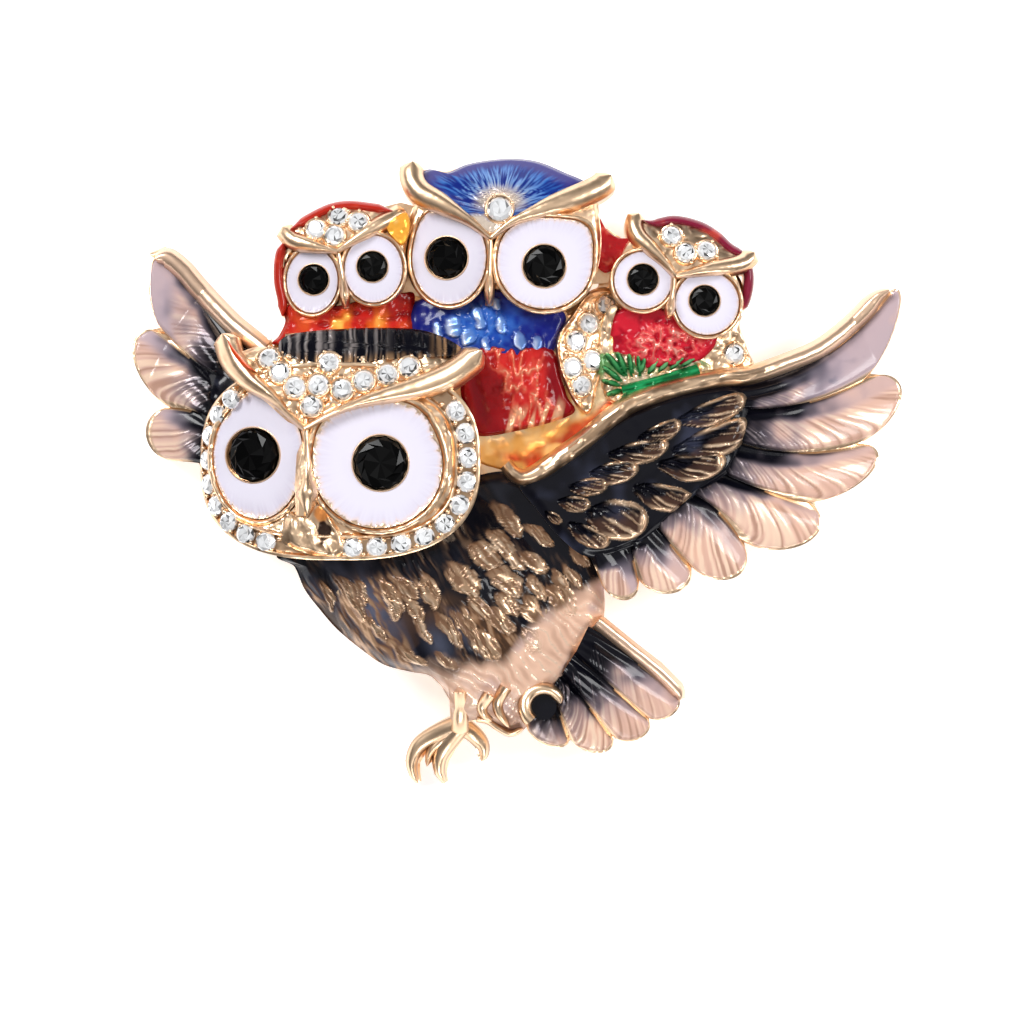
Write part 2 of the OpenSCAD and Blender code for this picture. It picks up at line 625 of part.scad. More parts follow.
module right_wing() {
    color(metal) {
        for (k = [0:len(wing_tips) - 1]) cast_feather(wing_fan, k);
        mound(placed(wing_at, wing_l, shoulder_shape), shoulder_mid, [1, 0.93, 0.5], shoulder_z);
        for (c = coverts) leaf(c, wing_at, wing_l, covert_z, enamel_t + 0.35, 0);
        wing_ridge_solid(0);
    }
}
module wing_ridge_solid(grow) {
    ridge(placed(wing_at, wing_l, wing_ridge),
        function(t) (t < 0.3 ? 0.5 : blend(0.72, 0.5, t)) + grow,
        function(p, t) back_z(p) + plate_t + feather_rise + 1.2 - 0.9 * t * t + 2 * grow);
}
module wing_enamel() {
    color(black) difference() {
        skin(placed(wing_at, wing_l, shoulder_shape), shoulder_mid, [0.93, 0.5], shoulder_z);
        for (c = coverts) leaf(c, wing_at, wing_l, covert_z, 3, enamel_gap);
    }
}

// The left wing shows beside the head; a smooth band leads it
left_band = [[0.11, 0.20], [-0.03, 0.30], [-0.16, 0.42], [-0.27, 0.53], [-0.345, 0.62], [-0.39, 0.611]];
left_root_shape = [
    [0.13, 0.25], [-0.03, 0.26], [-0.11, 0.07], [-0.14, -0.10], [-0.16, -0.30], [-0.05, -0.37],
    [0.10, -0.4], [0.2, -0.1]
];
module left_wing() {
    color(metal) {
        for (k = [0:len(left_wing_tips) - 1]) cast_feather(left_fan, k);
        ridge(placed(left_wing_at, left_wing_l, left_band),
            function(t) 0.62 * min(1, 5 * (1 - t) + 0.2),
            function(p, t) back_z(p) + plate_t + feather_rise + 0.9 - 0.6 * t);
        mound(placed(left_wing_at, left_wing_l, left_root_shape), left_wing_at
            + [0, 0.08] * left_wing_l, [1, 0.5],
            function(p, s) back_z(p) + plate_t + feather_rise);
    }
}

// The tail, with a plain band along its right side
tail_band = [[0.255, 0.268], [0.441, 0.118], [0.668, -0.055], [0.814, -0.200], [0.827, -0.291]];
// The last tail feather runs under the body and the curled foot
module last_tail_enamel() {
    difference() {
        feather_enamel(tail_fan, 3);
        column(placed(body_at, body_l, body_shape), body_at, 1.015);
        toe_ridges(enamel_gap);
    }
}
module tail() {
    color(metal) {
        for (k = [0:len(tail_tips) - 1]) cast_feather(tail_fan, k);
        ridge(placed(tail_at, tail_l, tail_band), function(t) 0.44,
            function(p, t) back_z(p) + plate_t + feather_rise + 0.4);
    }
}

// Feet: each toe is a path of shares of the body's length, from the leg out, and its height at both ends
toes = [
    [[[0.039, -0.359], [0.037, -0.438]], 5.5, 4],
    [[[0.035, -0.430], [-0.039, -0.469], [-0.094, -0.504], [-0.115, -0.547], [-0.109, -0.586],
    [-0.096, -0.613]], 4, 1.6],
    [[[0.035, -0.438], [-0.020, -0.480], [-0.055, -0.516], [-0.066, -0.547]], 3.8, 2.2],
    [[[0.039, -0.438], [0.000, -0.488], [-0.025, -0.539], [-0.027, -0.582], [-0.012, -0.613]], 4, 1.6],
    [[[0.035, -0.426], [0.078, -0.457], [0.104, -0.492], [0.105, -0.539]], 3.8, 2.2],
    [[[0.121, -0.336], [0.107, -0.367], [0.125, -0.406]], 5.5, 4],
    [[[0.184, -0.309], [0.160, -0.355], [0.191, -0.426]], 5.5, 4]
];
curl_at = body_at + [0.295, -0.3625] * body_l;
module toe_ridges(grow) {
    for (t = toes) ridge(placed(body_at, body_l, t[0]),
        function(s) toe_d / 2 * (1.15 - 0.75 * pow(s, 3)) + grow,
        function(p, s) blend(t[1], t[2], s) + 2 * grow);
    ridge([for (a = [215:-30:5]) curl_at + [cos(a), sin(a)] * curl_r],
        function(s) 0.5 * (1 - 0.5 * pow(s, 3)) + grow,
        function(p, s) blend(6.4, 4.8, s) + 2 * grow);
}
module feet() {
    color(metal) toe_ridges(0);
}

// Heads of the owlets: level over the eyes and falling back over the crown
middle_head = function(p, s = 0) middle_face_top
    - 0.14 * pow(max(0, p.y - middle_at.y - 0.21 * middle_face_w), 2) - 0.015 * pow(p.x - middle_at.x, 2);
left_up = [-0.17, 0.985];
left_head = function(p, s = 0) small_face_top + 0.2 - 0.12 * pow(max(0, (p - left_at) * left_up
    - 0.25 * left_face_w), 2)
    - 0.02 * pow(p.x - left_at.x, 2);
right_up = [0.33, 0.944];
right_head = function(p, s = 0) small_face_top - 0.12 * pow(max(0, (p - right_at) * right_up
    - 0.22 * right_face_w), 2)
    - 0.02 * pow(p.x - right_at.x, 2);
middle_chest = function(p, s = 0) middle_face_top - 1 - 0.03 * pow(p.x - middle_at.x, 2)
    - 0.02 * pow(p.y - middle_at.y + 0.55 * middle_face_w, 2);
small_chest = function(p, s = 0) small_face_top - 0.8 - 0.2 * s * s;

middle_crown = [
    [-0.429, 0.449], [-0.397, 0.494], [-0.288, 0.480], [-0.179, 0.513], [-0.051, 0.540], [0.077, 0.5515],
    [0.186, 0.526], [0.301, 0.474], [0.397, 0.417], [0.474, 0.372], [0.346, 0.340], [0.192, 0.288],
    [0.051, 0.244], [-0.058, 0.173], [-0.167, 0.263], [-0.288, 0.340]
];
middle_face = [
    [-0.474, 0.192], [-0.500, 0.051], [-0.455, -0.128], [-0.346, -0.231], [-0.064, -0.282], [0.295, -0.256],
    [0.436, -0.154], [0.500, 0.026], [0.505, 0.22], [0.47, 0.36], [0.192, 0.269], [-0.058, 0.154],
    [-0.288, 0.321], [-0.397, 0.340]
];
middle_brow_left = [
    [-0.058, 0.128], [-0.173, 0.224], [-0.301, 0.301], [-0.410, 0.359], [-0.462, 0.429], [-0.455, 0.506]
];
middle_brow_right = [
    [-0.058, 0.128], [0.051, 0.205], [0.192, 0.263], [0.359, 0.321], [0.494, 0.378], [0.551, 0.442]
];
middle_beak = [[-0.055, 0.12], [-0.06, -0.02], [-0.062, -0.15], [-0.064, -0.22]];
middle_breast = [
    [-0.449, -0.17], [-0.474, -0.314], [-0.372, -0.449], [-0.288, -0.519], [-0.09, -0.455], [0.09, -0.481],
    [0.231, -0.481], [0.288, -0.372], [0.321, -0.25], [-0.064, -0.26]
];
middle_belly = [
    [-0.095, -0.500], [-0.205, -0.641], [-0.17, -0.769], [-0.115, -0.872], [0.09, -0.846], [0.353, -0.763],
    [0.301, -0.596], [0.231, -0.505], [0.09, -0.51]
];
middle_base = [
    [-0.46, -0.1], [-0.50, -0.32], [-0.32, -0.56], [-0.25, -0.66], [-0.21, -0.85], [-0.07, -1.02],
    [0.096, -1.10],
    [0.295, -0.99], [0.436, -0.89], [0.42, -0.75], [0.5, -0.58], [0.5, -0.1]
];
middle_wing = [
    [0.500, -0.103], [0.551, -0.115], [0.622, -0.154], [0.622, -0.237], [0.590, -0.276], [0.519, -0.385],
    [0.519, -0.590], [0.449, -0.769], [0.372, -0.718], [0.295, -0.564], [0.288, -0.410], [0.346, -0.276]
];
middle_wing_stones = [
    [0.449, -0.308], [0.381, -0.397], [0.462, -0.494], [0.362, -0.538], [0.407, -0.641], [0.522, -0.212]
];

// An owlet's brows and beak, grown by an allowance
module owlet_ridges(at, w, brows, beak, eye_z, grow) {
    for (b = brows) ridge(placed(at, w, b),
        function(t) blend(0.38, 0.053 * w, t) * min(1, 5 * (1 - t) + 0.35) + grow,
        function(p, t) eye_z + 0.9 - 1.6 * pow(t, 3) + 2 * grow);
    ridge(placed(at, w, beak), function(t) 0.33 + grow, function(p, t) eye_z + 0.6 + 0.6 * sin(150 * t)
        + 2 * grow);
}
// A column over an outline grown from its middle by a share, to cut enamel clear of the metal over it
module column(outline, middle, share) {
    linear_extrude(height = 20) polygon([for (p = outline) blend(middle, p, share)]);
}
module eye_columns(eyes, at, w, n) {
    for (e = eyes) linear_extrude(height = 20)
        polygon([for (p = eye_ring(e, at, w, n, eye_rim + enamel_gap, 0, 0)) [p.x, p.y]]);
}
// An owlet's head in metal: crown, face, brows, beak and eye rims
module owlet_head(at, w, face, z, brows, beak, eyes, n, pupil_d, eye_z) {
    mound(placed(at, w, face), at, [1, 0.6], function(p, s) min(z(p), eye_z) - pupil_deep - 0.1
        - eyes[0][6] * max(0, at.x - p.x));
    owlet_ridges(at, w, brows, beak, eye_z, 0);
    for (e = eyes) eye_metal(e, at, w, n, pupil_d, eye_z);
}
middle_brows = [middle_brow_left, middle_brow_right];
middle_eye_z = middle_face_top - 0.3;
module middle_ridges(grow) { owlet_ridges(middle_at, middle_face_w, middle_brows, middle_beak,
    middle_eye_z, grow); }
module middle_owlet() {
    color(metal) {
        mound(placed(middle_at, middle_face_w, middle_crown), middle_crown_mid, [1, 0.88, 0.5], middle_head);
        owlet_head(middle_at, middle_face_w, middle_face, middle_head,
            middle_brows, middle_beak, middle_eyes, 16, middle_pupil_d, middle_eye_z);
        mound(placed(middle_at, middle_face_w, middle_base), middle_base_mid, [1, 0.6],
            function(p, s) middle_chest(p) - 0.5 - 0.8 * pow(s, 3));
        mound(placed(middle_at, middle_face_w, middle_breast), breast_mid, [1, 0.9, 0.5], middle_chest);
        mound(placed(middle_at, middle_face_w, middle_belly), belly_mid, [1, 0.9, 0.5], middle_chest);
        tray(placed(middle_at, middle_face_w, middle_wing), middle_wing_mid, middle_wing_z);
    }
}
middle_crown_mid = middle_at + [0, 0.4] * middle_face_w;
middle_wing_mid = middle_at + [0.42, -0.45] * middle_face_w;
middle_base_mid = middle_at + [0, -0.5] * middle_face_w;
breast_mid = middle_at + [-0.08, -0.36] * middle_face_w;
belly_mid = middle_at + [0.06, -0.68] * middle_face_w;
middle_wing_z = function(p, s = 0) middle_chest(p) + 0.6 - 0.2 * s;
module middle_cap() {
    color(blue) difference() {
        skin(placed(middle_at, middle_face_w, middle_crown), middle_crown_mid, [0.88, 0.5], middle_head);
        translate([middle_at.x - 0.013 * middle_face_w, middle_at.y + 0.27 * middle_face_w, cast_floor])
            cylinder(r = brow_stone_d / 2 + 0.3, h = 15, $fn = 10);
        middle_ridges(enamel_gap);
    }
}
module middle_breast_enamel() {
    color(blue) difference() {
        skin(placed(middle_at, middle_face_w, middle_breast), breast_mid, [0.9, 0.5], middle_chest);
        eye_columns(middle_eyes, middle_at, middle_face_w, 16);
        column(placed(middle_at, middle_face_w, middle_face), middle_at, 1.06);
        column(placed(middle_at, middle_face_w, middle_wing), middle_wing_mid, 1.07);
        column(placed(mother_at, face_w, forehead_shape), forehead_mid, 1.04);
        column(placed(mother_at, face_w, nape_shape), nape_mid, 1.06);
        middle_ridges(enamel_gap);
        mother_ridges(enamel_gap);
    }
}
module middle_belly_enamel() {
    color(red) difference() {
        skin(placed(middle_at, middle_face_w, middle_belly), belly_mid, [0.9, 0.5], middle_chest);
        column(placed(middle_at, middle_face_w, middle_wing), middle_wing_mid, 1.07);
        linear_extrude(height = 20) polygon(halo_outline(-1.5 * enamel_gap));
        mother_ridges(enamel_gap);
        wing_ridge_solid(enamel_gap);
    }
}

left_crown = [
    [-0.460, 0.330], [-0.380, 0.390], [-0.230, 0.495], [-0.080, 0.560], [0.060, 0.575], [0.230, 0.550],
    [0.410, 0.500], [0.310, 0.400], [0.120, 0.290], [-0.030, 0.200], [-0.230, 0.240]
];
left_face = [
    [-0.46, 0.2], [-0.48, 0], [-0.4, -0.25], [-0.2, -0.33], [0, -0.3], [0.2, -0.25], [0.42, -0.15],
    [0.49, 0.1],
    [0.43, 0.40], [0.12, 0.32], [-0.03, 0.2], [-0.23, 0.26]
];
left_brow_left = [[-0.03, 0.18], [-0.10, 0.19], [-0.23, 0.22], [-0.42, 0.29], [-0.47, 0.38]];
left_brow_right = [[-0.030, 0.180], [0.120, 0.280], [0.290, 0.370], [0.420, 0.450]];
left_beak = [[-0.02, 0.17], [0.0, 0.0], [0.02, -0.15], [0.03, -0.26]];
left_base = [
    [-0.47, 0.1], [-0.46, -0.2], [-0.45, -0.35], [-0.5, -0.48], [-0.59, -0.57], [-0.4, -0.64], [0, -0.6],
    [0.5, -0.5], [0.6, -0.2], [0.6, 0.45], [0.45, 0.45], [0.05, 0.2]
];
left_breast = [
    [-0.42, -0.28], [-0.44, -0.47], [-0.22, -0.47], [0.02, -0.46], [0.26, -0.45], [0.50, -0.40],
    [0.54, -0.18],
    [0.36, -0.23], [0.05, -0.33]
];
left_crown_stones = [[-0.210, 0.365], [-0.030, 0.465], [-0.060, 0.305], [0.130, 0.425]];
left_crown_mid = left_at + [0, 0.41] * left_face_w;
left_breast_mid = left_at + [0.08, -0.39] * left_face_w;
left_chest = function(p, s = 0) small_chest(p, s) - 0.03 * pow(p.x - left_at.x, 2);
left_brows = [left_brow_left, left_brow_right];
left_eye_z = small_face_top - 0.1;
module left_ridges(grow) { owlet_ridges(left_at, left_face_w, left_brows, left_beak, left_eye_z, grow); }
module left_owlet() {
    color(metal) {
        tray(placed(left_at, left_face_w, left_crown), left_crown_mid, left_head);
        owlet_head(left_at, left_face_w, left_face, left_head,
            left_brows, left_beak, left_eyes, 12, small_pupil_d, left_eye_z);
        mound(placed(left_at, left_face_w, left_base), left_at, [1, 0.6],
            function(p, s) left_chest(p) - 0.4 - 0.8 * pow(s, 3));
        mound(placed(left_at, left_face_w, left_breast), left_breast_mid, [1, 0.86, 0.5], left_chest);
    }
}
module left_breast_enamel() {
    color(red) difference() {
        skin(placed(left_at, left_face_w, left_breast), left_breast_mid, [0.86, 0.5], left_chest);
        eye_columns(left_eyes, left_at, left_face_w, 12);
        eye_columns([middle_eyes[0]], middle_at, middle_face_w, 16);
        column(placed(left_at, left_face_w, left_face), left_at, 1.04);
        column(placed(middle_at, middle_face_w, middle_base), middle_base_mid, 1.02);
        column(placed(mother_at, face_w, nape_shape), nape_mid, 1.06);
        left_ridges(enamel_gap);
    }
}

right_crown = [
    [-0.240, 0.548], [-0.135, 0.538], [0.029, 0.567], [0.212, 0.534], [0.346, 0.452], [0.452, 0.346],
    [0.587, 0.279], [0.519, 0.202], [0.288, 0.192], [0.125, 0.154], [0.010, 0.144], [-0.096, 0.260],
    [-0.192, 0.375]
];
right_face = [
    [-0.36, 0.37], [-0.47, 0.15], [-0.45, -0.05], [-0.33, -0.18], [-0.04, -0.22], [0.15, -0.33],
    [0.32, -0.34],
    [0.47, -0.2], [0.52, 0], [0.5, 0.16], [0.28, 0.17], [0.02, 0.12], [-0.08, 0.24], [-0.22, 0.40]
];
right_brow_left = [
    [0.02, 0.11], [-0.077, 0.23], [-0.183, 0.337], [-0.26, 0.404], [-0.288, 0.5], [-0.25, 0.596]
];
right_brow_right = [[0.02, 0.11], [0.125, 0.125], [0.288, 0.163], [0.45, 0.18], [0.55, 0.21], [0.625, 0.288]];
right_beak = [[0.015, 0.1], [0.0, 0.0], [-0.02, -0.12], [-0.038, -0.22]];
right_base = [
    [-0.5, 0.5], [-0.56, 0.2], [-0.58, -0.4], [-0.58, -0.72], [-0.1, -0.80], [0.3, -0.72], [0.615, -0.596],
    [0.558, -0.40], [0.5, -0.26], [0.55, -0.11], [0.48, 0.13], [0.1, 0.1]
];
right_breast = [
    [-0.471, -0.27], [-0.25, -0.154], [-0.038, -0.221], [0.15, -0.34], [0.212, -0.38], [0.192, -0.538],
    [-0.096, -0.57], [-0.40, -0.538]
];
right_crown_stones = [[-0.01, 0.423], [0.087, 0.288], [0.26, 0.308]];
right_wing_stone = [[0.471, -0.481]];
right_crown_mid = right_at + [0.14, 0.35] * right_face_w;
right_breast_mid = right_at + [-0.12, -0.38] * right_face_w;
right_chest = function(p, s = 0) small_chest(p, s) - 0.03 * pow(p.x - right_at.x, 2);
right_base_z = function(p, s = 0) right_chest(p) - 0.4 - 0.8 * pow(s, 3);
right_brows = [right_brow_left, right_brow_right];
right_eye_z = small_face_top - 0.2;
module right_ridges(grow) { owlet_ridges(right_at, right_face_w, right_brows, right_beak, right_eye_z,
    grow); }
module right_owlet() {
    color(metal) {
        tray(placed(right_at, right_face_w, right_crown), right_crown_mid, right_head);
        owlet_head(right_at, right_face_w, right_face, right_head,
            right_brows, right_beak, right_eyes, 12, small_pupil_d, right_eye_z);
        mound(placed(right_at, right_face_w, right_base), right_at, [1, 0.6], right_base_z);
        mound(placed(right_at, right_face_w, right_breast), right_breast_mid, [1, 0.86, 0.5], right_chest);
    }
}
module right_breast_enamel() {
    color(red) difference() {
        skin(placed(right_at, right_face_w, right_breast), right_breast_mid, [0.86, 0.5], right_chest);
        eye_columns(right_eyes, right_at, right_face_w, 12);
        column(placed(right_at, right_face_w, right_face), right_at, 1.04);
        right_ridges(enamel_gap);
    }
}

// The branch the right owlet sits on stands on a flat bed
branch_line = [[-0.365, -0.788], [-0.18, -0.74], [0, -0.69], [0.173, -0.635]];
branch_z = small_face_top - 0.9;
module branch_bed() {
    color(metal) mound(placed(right_at, right_face_w, [
        [-0.42, -0.88], [-0.45, -0.73], [-0.33, -0.62], [0, -0.57], [0.25, -0.55], [0.27, -0.7],
        [0.05, -0.80],
        [-0.2, -0.87]
    ]), right_at + [-0.1, -0.71] * right_face_w, [1, 0.5], function(p, s) branch_z);
}
module branch() {
    path = placed(right_at, right_face_w, branch_line);
    n = len(path) - 1;
    function row(i, heights) = [for (k = [0:4])
        let (p = path[i] + left_of(path, i) * 0.5 * (k / 2 - 1)) [p.x, p.y, branch_z + enamel_gap
            + heights[k]]];
    color(green) difference() {
        grid_solid(
            [for (i = [0:n]) row(i, [0.25, 0.65, 0.8, 0.65, 0.25])],
            [for (i = [0:n]) row(i, [0, 0, 0, 0, 0])]
        );
        wing_ridge_solid(enamel_gap);
    }
}

// A low plate closes the back between the body, the wing and the owlets
saddle_shape = [
    [-0.020, 0.367], [0.176, 0.344], [0.273, 0.297], [0.371, 0.328], [0.605, 0.426], [0.918, 0.523],
    [0.949, 0.688], [0.762, 0.719], [0.566, 0.719], [0.371, 0.680], [0.098, 0.719], [-0.059, 0.562]
];
module saddle() {
    color(metal) mound(placed(body_at, body_l, saddle_shape), body_at + [0.4, 0.5] * body_l, [1, 0.5],
        function(p, s) back_z(p) + plate_t - 0.5);
}

// The small enamel patches between the owlets' heads lie on low mounds of the casting
module gap_mounds() {
    color(metal) {
        mound(placed(middle_at, middle_face_w, [
            [-0.6, 0.30], [-0.62, 0.05], [-0.54, -0.15], [-0.4, -0.2], [-0.4, 0.2], [-0.44, 0.3],
            [-0.52, 0.32]
        ]), middle_at + [-0.5, 0.07] * middle_face_w, [1], function(p, s) 5.2);
        mound(placed(middle_at, middle_face_w, [
            [0.45, 0.23], [0.538, 0.147], [0.686, 0.128], [0.72, 0], [0.66, -0.08], [0.46, -0.1], [0.4, 0]
        ]), middle_at + [0.55, 0] * middle_face_w, [1], function(p, s) 5.4);
    }
}

// The dome is hollowed out of the back and the casting is cut off level with the surface
module hollow() {
    n = 24;
    outline = [for (i = [0:n - 1]) [dome_reach_x * cos(360 * i / n), dome_reach_y * sin(360 * i / n)]];
    pad_solid(
        [for (s = [1, 0.9, 0.72, 0.45]) ring(outline, [0, 0], s, function(p, s) back_z(p))],
        [0, 0, dome_lift],
        [ring(outline, [0, 0], 1, function(p, s) 2 * cast_floor)],
        [0, 0, 2 * cast_floor]
    );
    translate([-wing_l * 2, -wing_l * 2, 2 * cast_floor]) cube([wing_l * 4, wing_l * 4, -2 * cast_floor]);
}
module pin_pad() {
    color(metal) translate([pin_at.x - pin_l / 2 - 0.3, pin_at.y - bar_w / 2 - 0.3, pin_pad_z])
        cube([pin_l + 0.6, bar_w + 0.6, 1.2]);
}
module casting() {
    difference() {
        union() {
            mother_head();
            mother_body();
            right_wing();
            left_wing();
            tail();
            feet();
            middle_owlet();
            left_owlet();
            right_owlet();
            branch_bed();
            saddle();
            gap_mounds();
        }
        hollow();
        seats(placed(middle_at, middle_face_w, [[-0.013, 0.27]]), middle_head, brow_stone_d);
        seats(placed(right_at, right_face_w, right_wing_stone), right_base_z, small_stone_d);
    }
    pin_pad();
}

// The bar pin: a flat bar with a hinge block, a stem and a hook that holds its point
bar_z = pin_pad_z - 0.08 - bar_t;
stem_z = bar_z - cloth_gap - stem_d / 2;
module bar_pin() {
    color(steel) translate([pin_at.x, pin_at.y, 0]) {
        translate([-pin_l / 2, -bar_w / 2, bar_z]) cube([pin_l, bar_w, bar_t]);
        translate([-pin_l / 2, -bar_w * 0.4, stem_z - stem_d / 2]) cube([2.4, bar_w * 0.8, bar_z - stem_z
            + stem_d / 2]);
        translate([-pin_l / 2 + 2, 0, stem_z]) rotate([0, 90, 0]) cylinder(d = stem_d, h = pin_l - 4);
        translate([pin_l / 2 - 2, 0, stem_z]) rotate([0, 90, 0]) cylinder(d1 = stem_d, d2 = 0.2, h = 1.8);
        difference() {
            translate([pin_l / 2 - 3, 0, stem_z]) rotate([0, 90, 0]) cylinder(r = stem_d / 2 + 0.7, h = 2);
            translate([pin_l / 2 - 3.1, 0, stem_z]) rotate([0, 90, 0]) cylinder(r = stem_d / 2
                + 0.2, h = 2.2);
            translate([pin_l / 2 - 3.1, 0, stem_z - 2]) cube([2.2, 2, 2]);
        }
        translate([pin_l / 2 - 3, -0.4, stem_z + stem_d / 2 + 0.4]) cube([2, 0.8, bar_z - stem_z
            - stem_d / 2 - 0.3]);
    }
}

casting();
bar_pin();
body_enamel();
nape_enamel();
wing_enamel();
color(blush) feather_enamel(wing_fan, 0);  // primary_1
color(blush) feather_enamel(wing_fan, 1);  // primary_2
color(blush) feather_enamel(wing_fan, 2);  // primary_3
color(blush) feather_enamel(wing_fan, 3);  // primary_4
color(blush) feather_enamel(wing_fan, 4);  // primary_5
color(blush) feather_enamel(wing_fan, 5);  // primary_6
color(blush) feather_enamel(wing_fan, 6);  // primary_7
color(blush) feather_enamel(left_fan, 0);  // left_primary_1
color(blush) feather_enamel(left_fan, 1);  // left_primary_2
color(blush) feather_enamel(left_fan, 2);  // left_primary_3
color(blush) feather_enamel(tail_fan, 0);  // tail_feather_1
color(blush) feather_enamel(tail_fan, 1);  // tail_feather_2
color(blush) feather_enamel(tail_fan, 2);  // tail_feather_3
color(blush) last_tail_enamel();  // tail_feather_4
eye_white(mother_eyes[0], mother_at, face_w, 20, mother_pupil_d, face_top) mother_over();  // mother_eye_left
pupil(mother_eyes[0], mother_at, face_w, 12, mother_pupil_d, face_top);  // mother_pupil_left
eye_white(mother_eyes[1], mother_at, face_w, 20, mother_pupil_d, face_top) mother_over();  // mother_eye_right
pupil(mother_eyes[1], mother_at, face_w, 12, mother_pupil_d, face_top);  // mother_pupil_right
eye_white(middle_eyes[0], middle_at, middle_face_w, 16, middle_pupil_d,  // middle_owlet_eye_left
        middle_eye_z) middle_ridges(enamel_gap);
pupil(middle_eyes[0], middle_at, middle_face_w, 12, middle_pupil_d, middle_eye_z);  // middle_owlet_pupil_left
eye_white(middle_eyes[1], middle_at, middle_face_w, 16, middle_pupil_d,  // middle_owlet_eye_right
        middle_eye_z) middle_ridges(enamel_gap);
pupil(middle_eyes[1], middle_at, middle_face_w, 12, middle_pupil_d, middle_eye_z);  // middle_owlet_pupil_right
eye_white(left_eyes[0], left_at, left_face_w, 12, small_pupil_d, left_eye_z) left_ridges(enamel_gap);  // left_owlet_eye_left
pupil(left_eyes[0], left_at, left_face_w, 12, small_pupil_d, left_eye_z);  // left_owlet_pupil_left
eye_white(left_eyes[1], left_at, left_face_w, 12, small_pupil_d, left_eye_z) left_ridges(enamel_gap);  // left_owlet_eye_right
pupil(left_eyes[1], left_at, left_face_w, 12, small_pupil_d, left_eye_z);  // left_owlet_pupil_right
eye_white(right_eyes[0], right_at, right_face_w, 12, small_pupil_d, right_eye_z) right_ridges(enamel_gap);  // right_owlet_eye_left
pupil(right_eyes[0], right_at, right_face_w, 12, small_pupil_d, right_eye_z);  // right_owlet_pupil_left
eye_white(right_eyes[1], right_at, right_face_w, 12, small_pupil_d, right_eye_z) right_ridges(enamel_gap);  // right_owlet_eye_right
pupil(right_eyes[1], right_at, right_face_w, 12, small_pupil_d, right_eye_z);  // right_owlet_pupil_right
middle_cap();  // middle_owlet_cap
middle_breast_enamel();  // middle_owlet_breast
middle_belly_enamel();  // middle_owlet_belly
left_breast_enamel();  // left_owlet_breast
right_breast_enamel();  // right_owlet_breast
branch();
halo_stones(halo_right);  // halo_stones_right
halo_stones(halo_left);  // halo_stones_left
stones(placed(mother_at, face_w, brow_stone_places), forehead_z, halo_stone_d);  // brow_stones
stones(placed(middle_at, middle_face_w, [[-0.013, 0.27]]), middle_head, brow_stone_d);  // middle_brow_stone
stones(placed(middle_at, middle_face_w, middle_wing_stones), middle_wing_z, small_stone_d);
stones(placed(left_at, left_face_w, left_crown_stones), left_head, small_stone_d);
stones(placed(right_at, right_face_w, right_crown_stones), right_head, small_stone_d);
stones(placed(right_at, right_face_w, right_wing_stone), right_base_z, small_stone_d);
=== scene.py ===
import math

import bpy
import numpy as np
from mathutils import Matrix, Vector


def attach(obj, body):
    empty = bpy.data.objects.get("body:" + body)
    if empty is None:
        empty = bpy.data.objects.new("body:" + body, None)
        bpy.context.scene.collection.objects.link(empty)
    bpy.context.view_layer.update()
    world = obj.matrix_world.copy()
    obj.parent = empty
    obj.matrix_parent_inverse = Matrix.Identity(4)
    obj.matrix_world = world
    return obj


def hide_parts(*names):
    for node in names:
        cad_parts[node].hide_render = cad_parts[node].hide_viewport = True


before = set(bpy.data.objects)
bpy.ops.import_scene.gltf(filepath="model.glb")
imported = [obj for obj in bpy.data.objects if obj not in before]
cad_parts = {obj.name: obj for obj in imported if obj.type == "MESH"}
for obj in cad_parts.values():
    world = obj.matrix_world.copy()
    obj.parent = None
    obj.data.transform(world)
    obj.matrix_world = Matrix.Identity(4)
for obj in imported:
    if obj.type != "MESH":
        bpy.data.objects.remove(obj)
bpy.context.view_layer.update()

# Lengths and places in this script are in millimetres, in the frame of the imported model
MM = 0.001

# The casting's dome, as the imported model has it
DOME_LIFT = 5.0
DOME_REACH = (31.0, 25.2)
PLATE = 1.5


# Helpers for numbers and noise

def mix(a, b, t):
    return a + (b - a) * t


def ease(lo, hi, x):
    t = np.clip((x - lo) / (hi - lo), 0, 1)
    return t * t * (3 - 2 * t)


def lattice(ix, iy, seed):
    n = (ix * 374761393 + iy * 668265263 + seed * 974634777) & 0x7fffffff
    n = ((n ^ (n >> 13)) * 1274126177) & 0x7fffffff
    return ((n ^ (n >> 16)) & 0xffff) / 65535.0


def noise(x, y, size, seed=0):
    """Smooth noise from 0 to 1 whose lumps are about size across."""
    gx, gy = np.asarray(x) / size, np.asarray(y) / size
    ix, iy = np.floor(gx).astype(np.int64), np.floor(gy).astype(np.int64)
    fx, fy = ease(0, 1, gx - ix), ease(0, 1, gy - iy)
    low = mix(lattice(ix, iy, seed), lattice(ix + 1, iy, seed), fx)
    high = mix(lattice(ix, iy + 1, seed), lattice(ix + 1, iy + 1, seed), fx)
    return mix(low, high, fy)


def rough(x, y, size, seed=0):
    """Noise of two sizes, from -1 to 1."""
    return 1.3 * noise(x, y, size, seed) + 0.7 * noise(x, y, size * 0.45, seed + 7) - 1


def folds(x, y, size, seed=0):
    """Sharp crests, from 0 to 1, as in crumpled foil."""
    return np.clip(1 - 1.7 * np.abs(rough(x, y, size, seed)), 0, 1)


def crest(w, power=2.4, shape=0.75):
    """The height across a rounded band, from 1 in its middle to 0 at w = -1 and 1."""
    return np.clip(1 - np.abs(w) ** power, 0, 1) ** shape


def spot(x, y, at, reach):
    """1 at a place, with a soft fall around it."""
    return np.exp(-(((x - at[0]) / reach[0]) ** 2 + ((y - at[1]) / reach[1]) ** 2))


def bell(x, at, reach):
    return np.exp(-((x - at) / reach) ** 2)


def taper(t, steep, least=0.04):
    """The share of its width that a band has towards its end at t = 1."""
    return np.minimum(1, np.sqrt((1 - t) * steep) + least)


# Curves

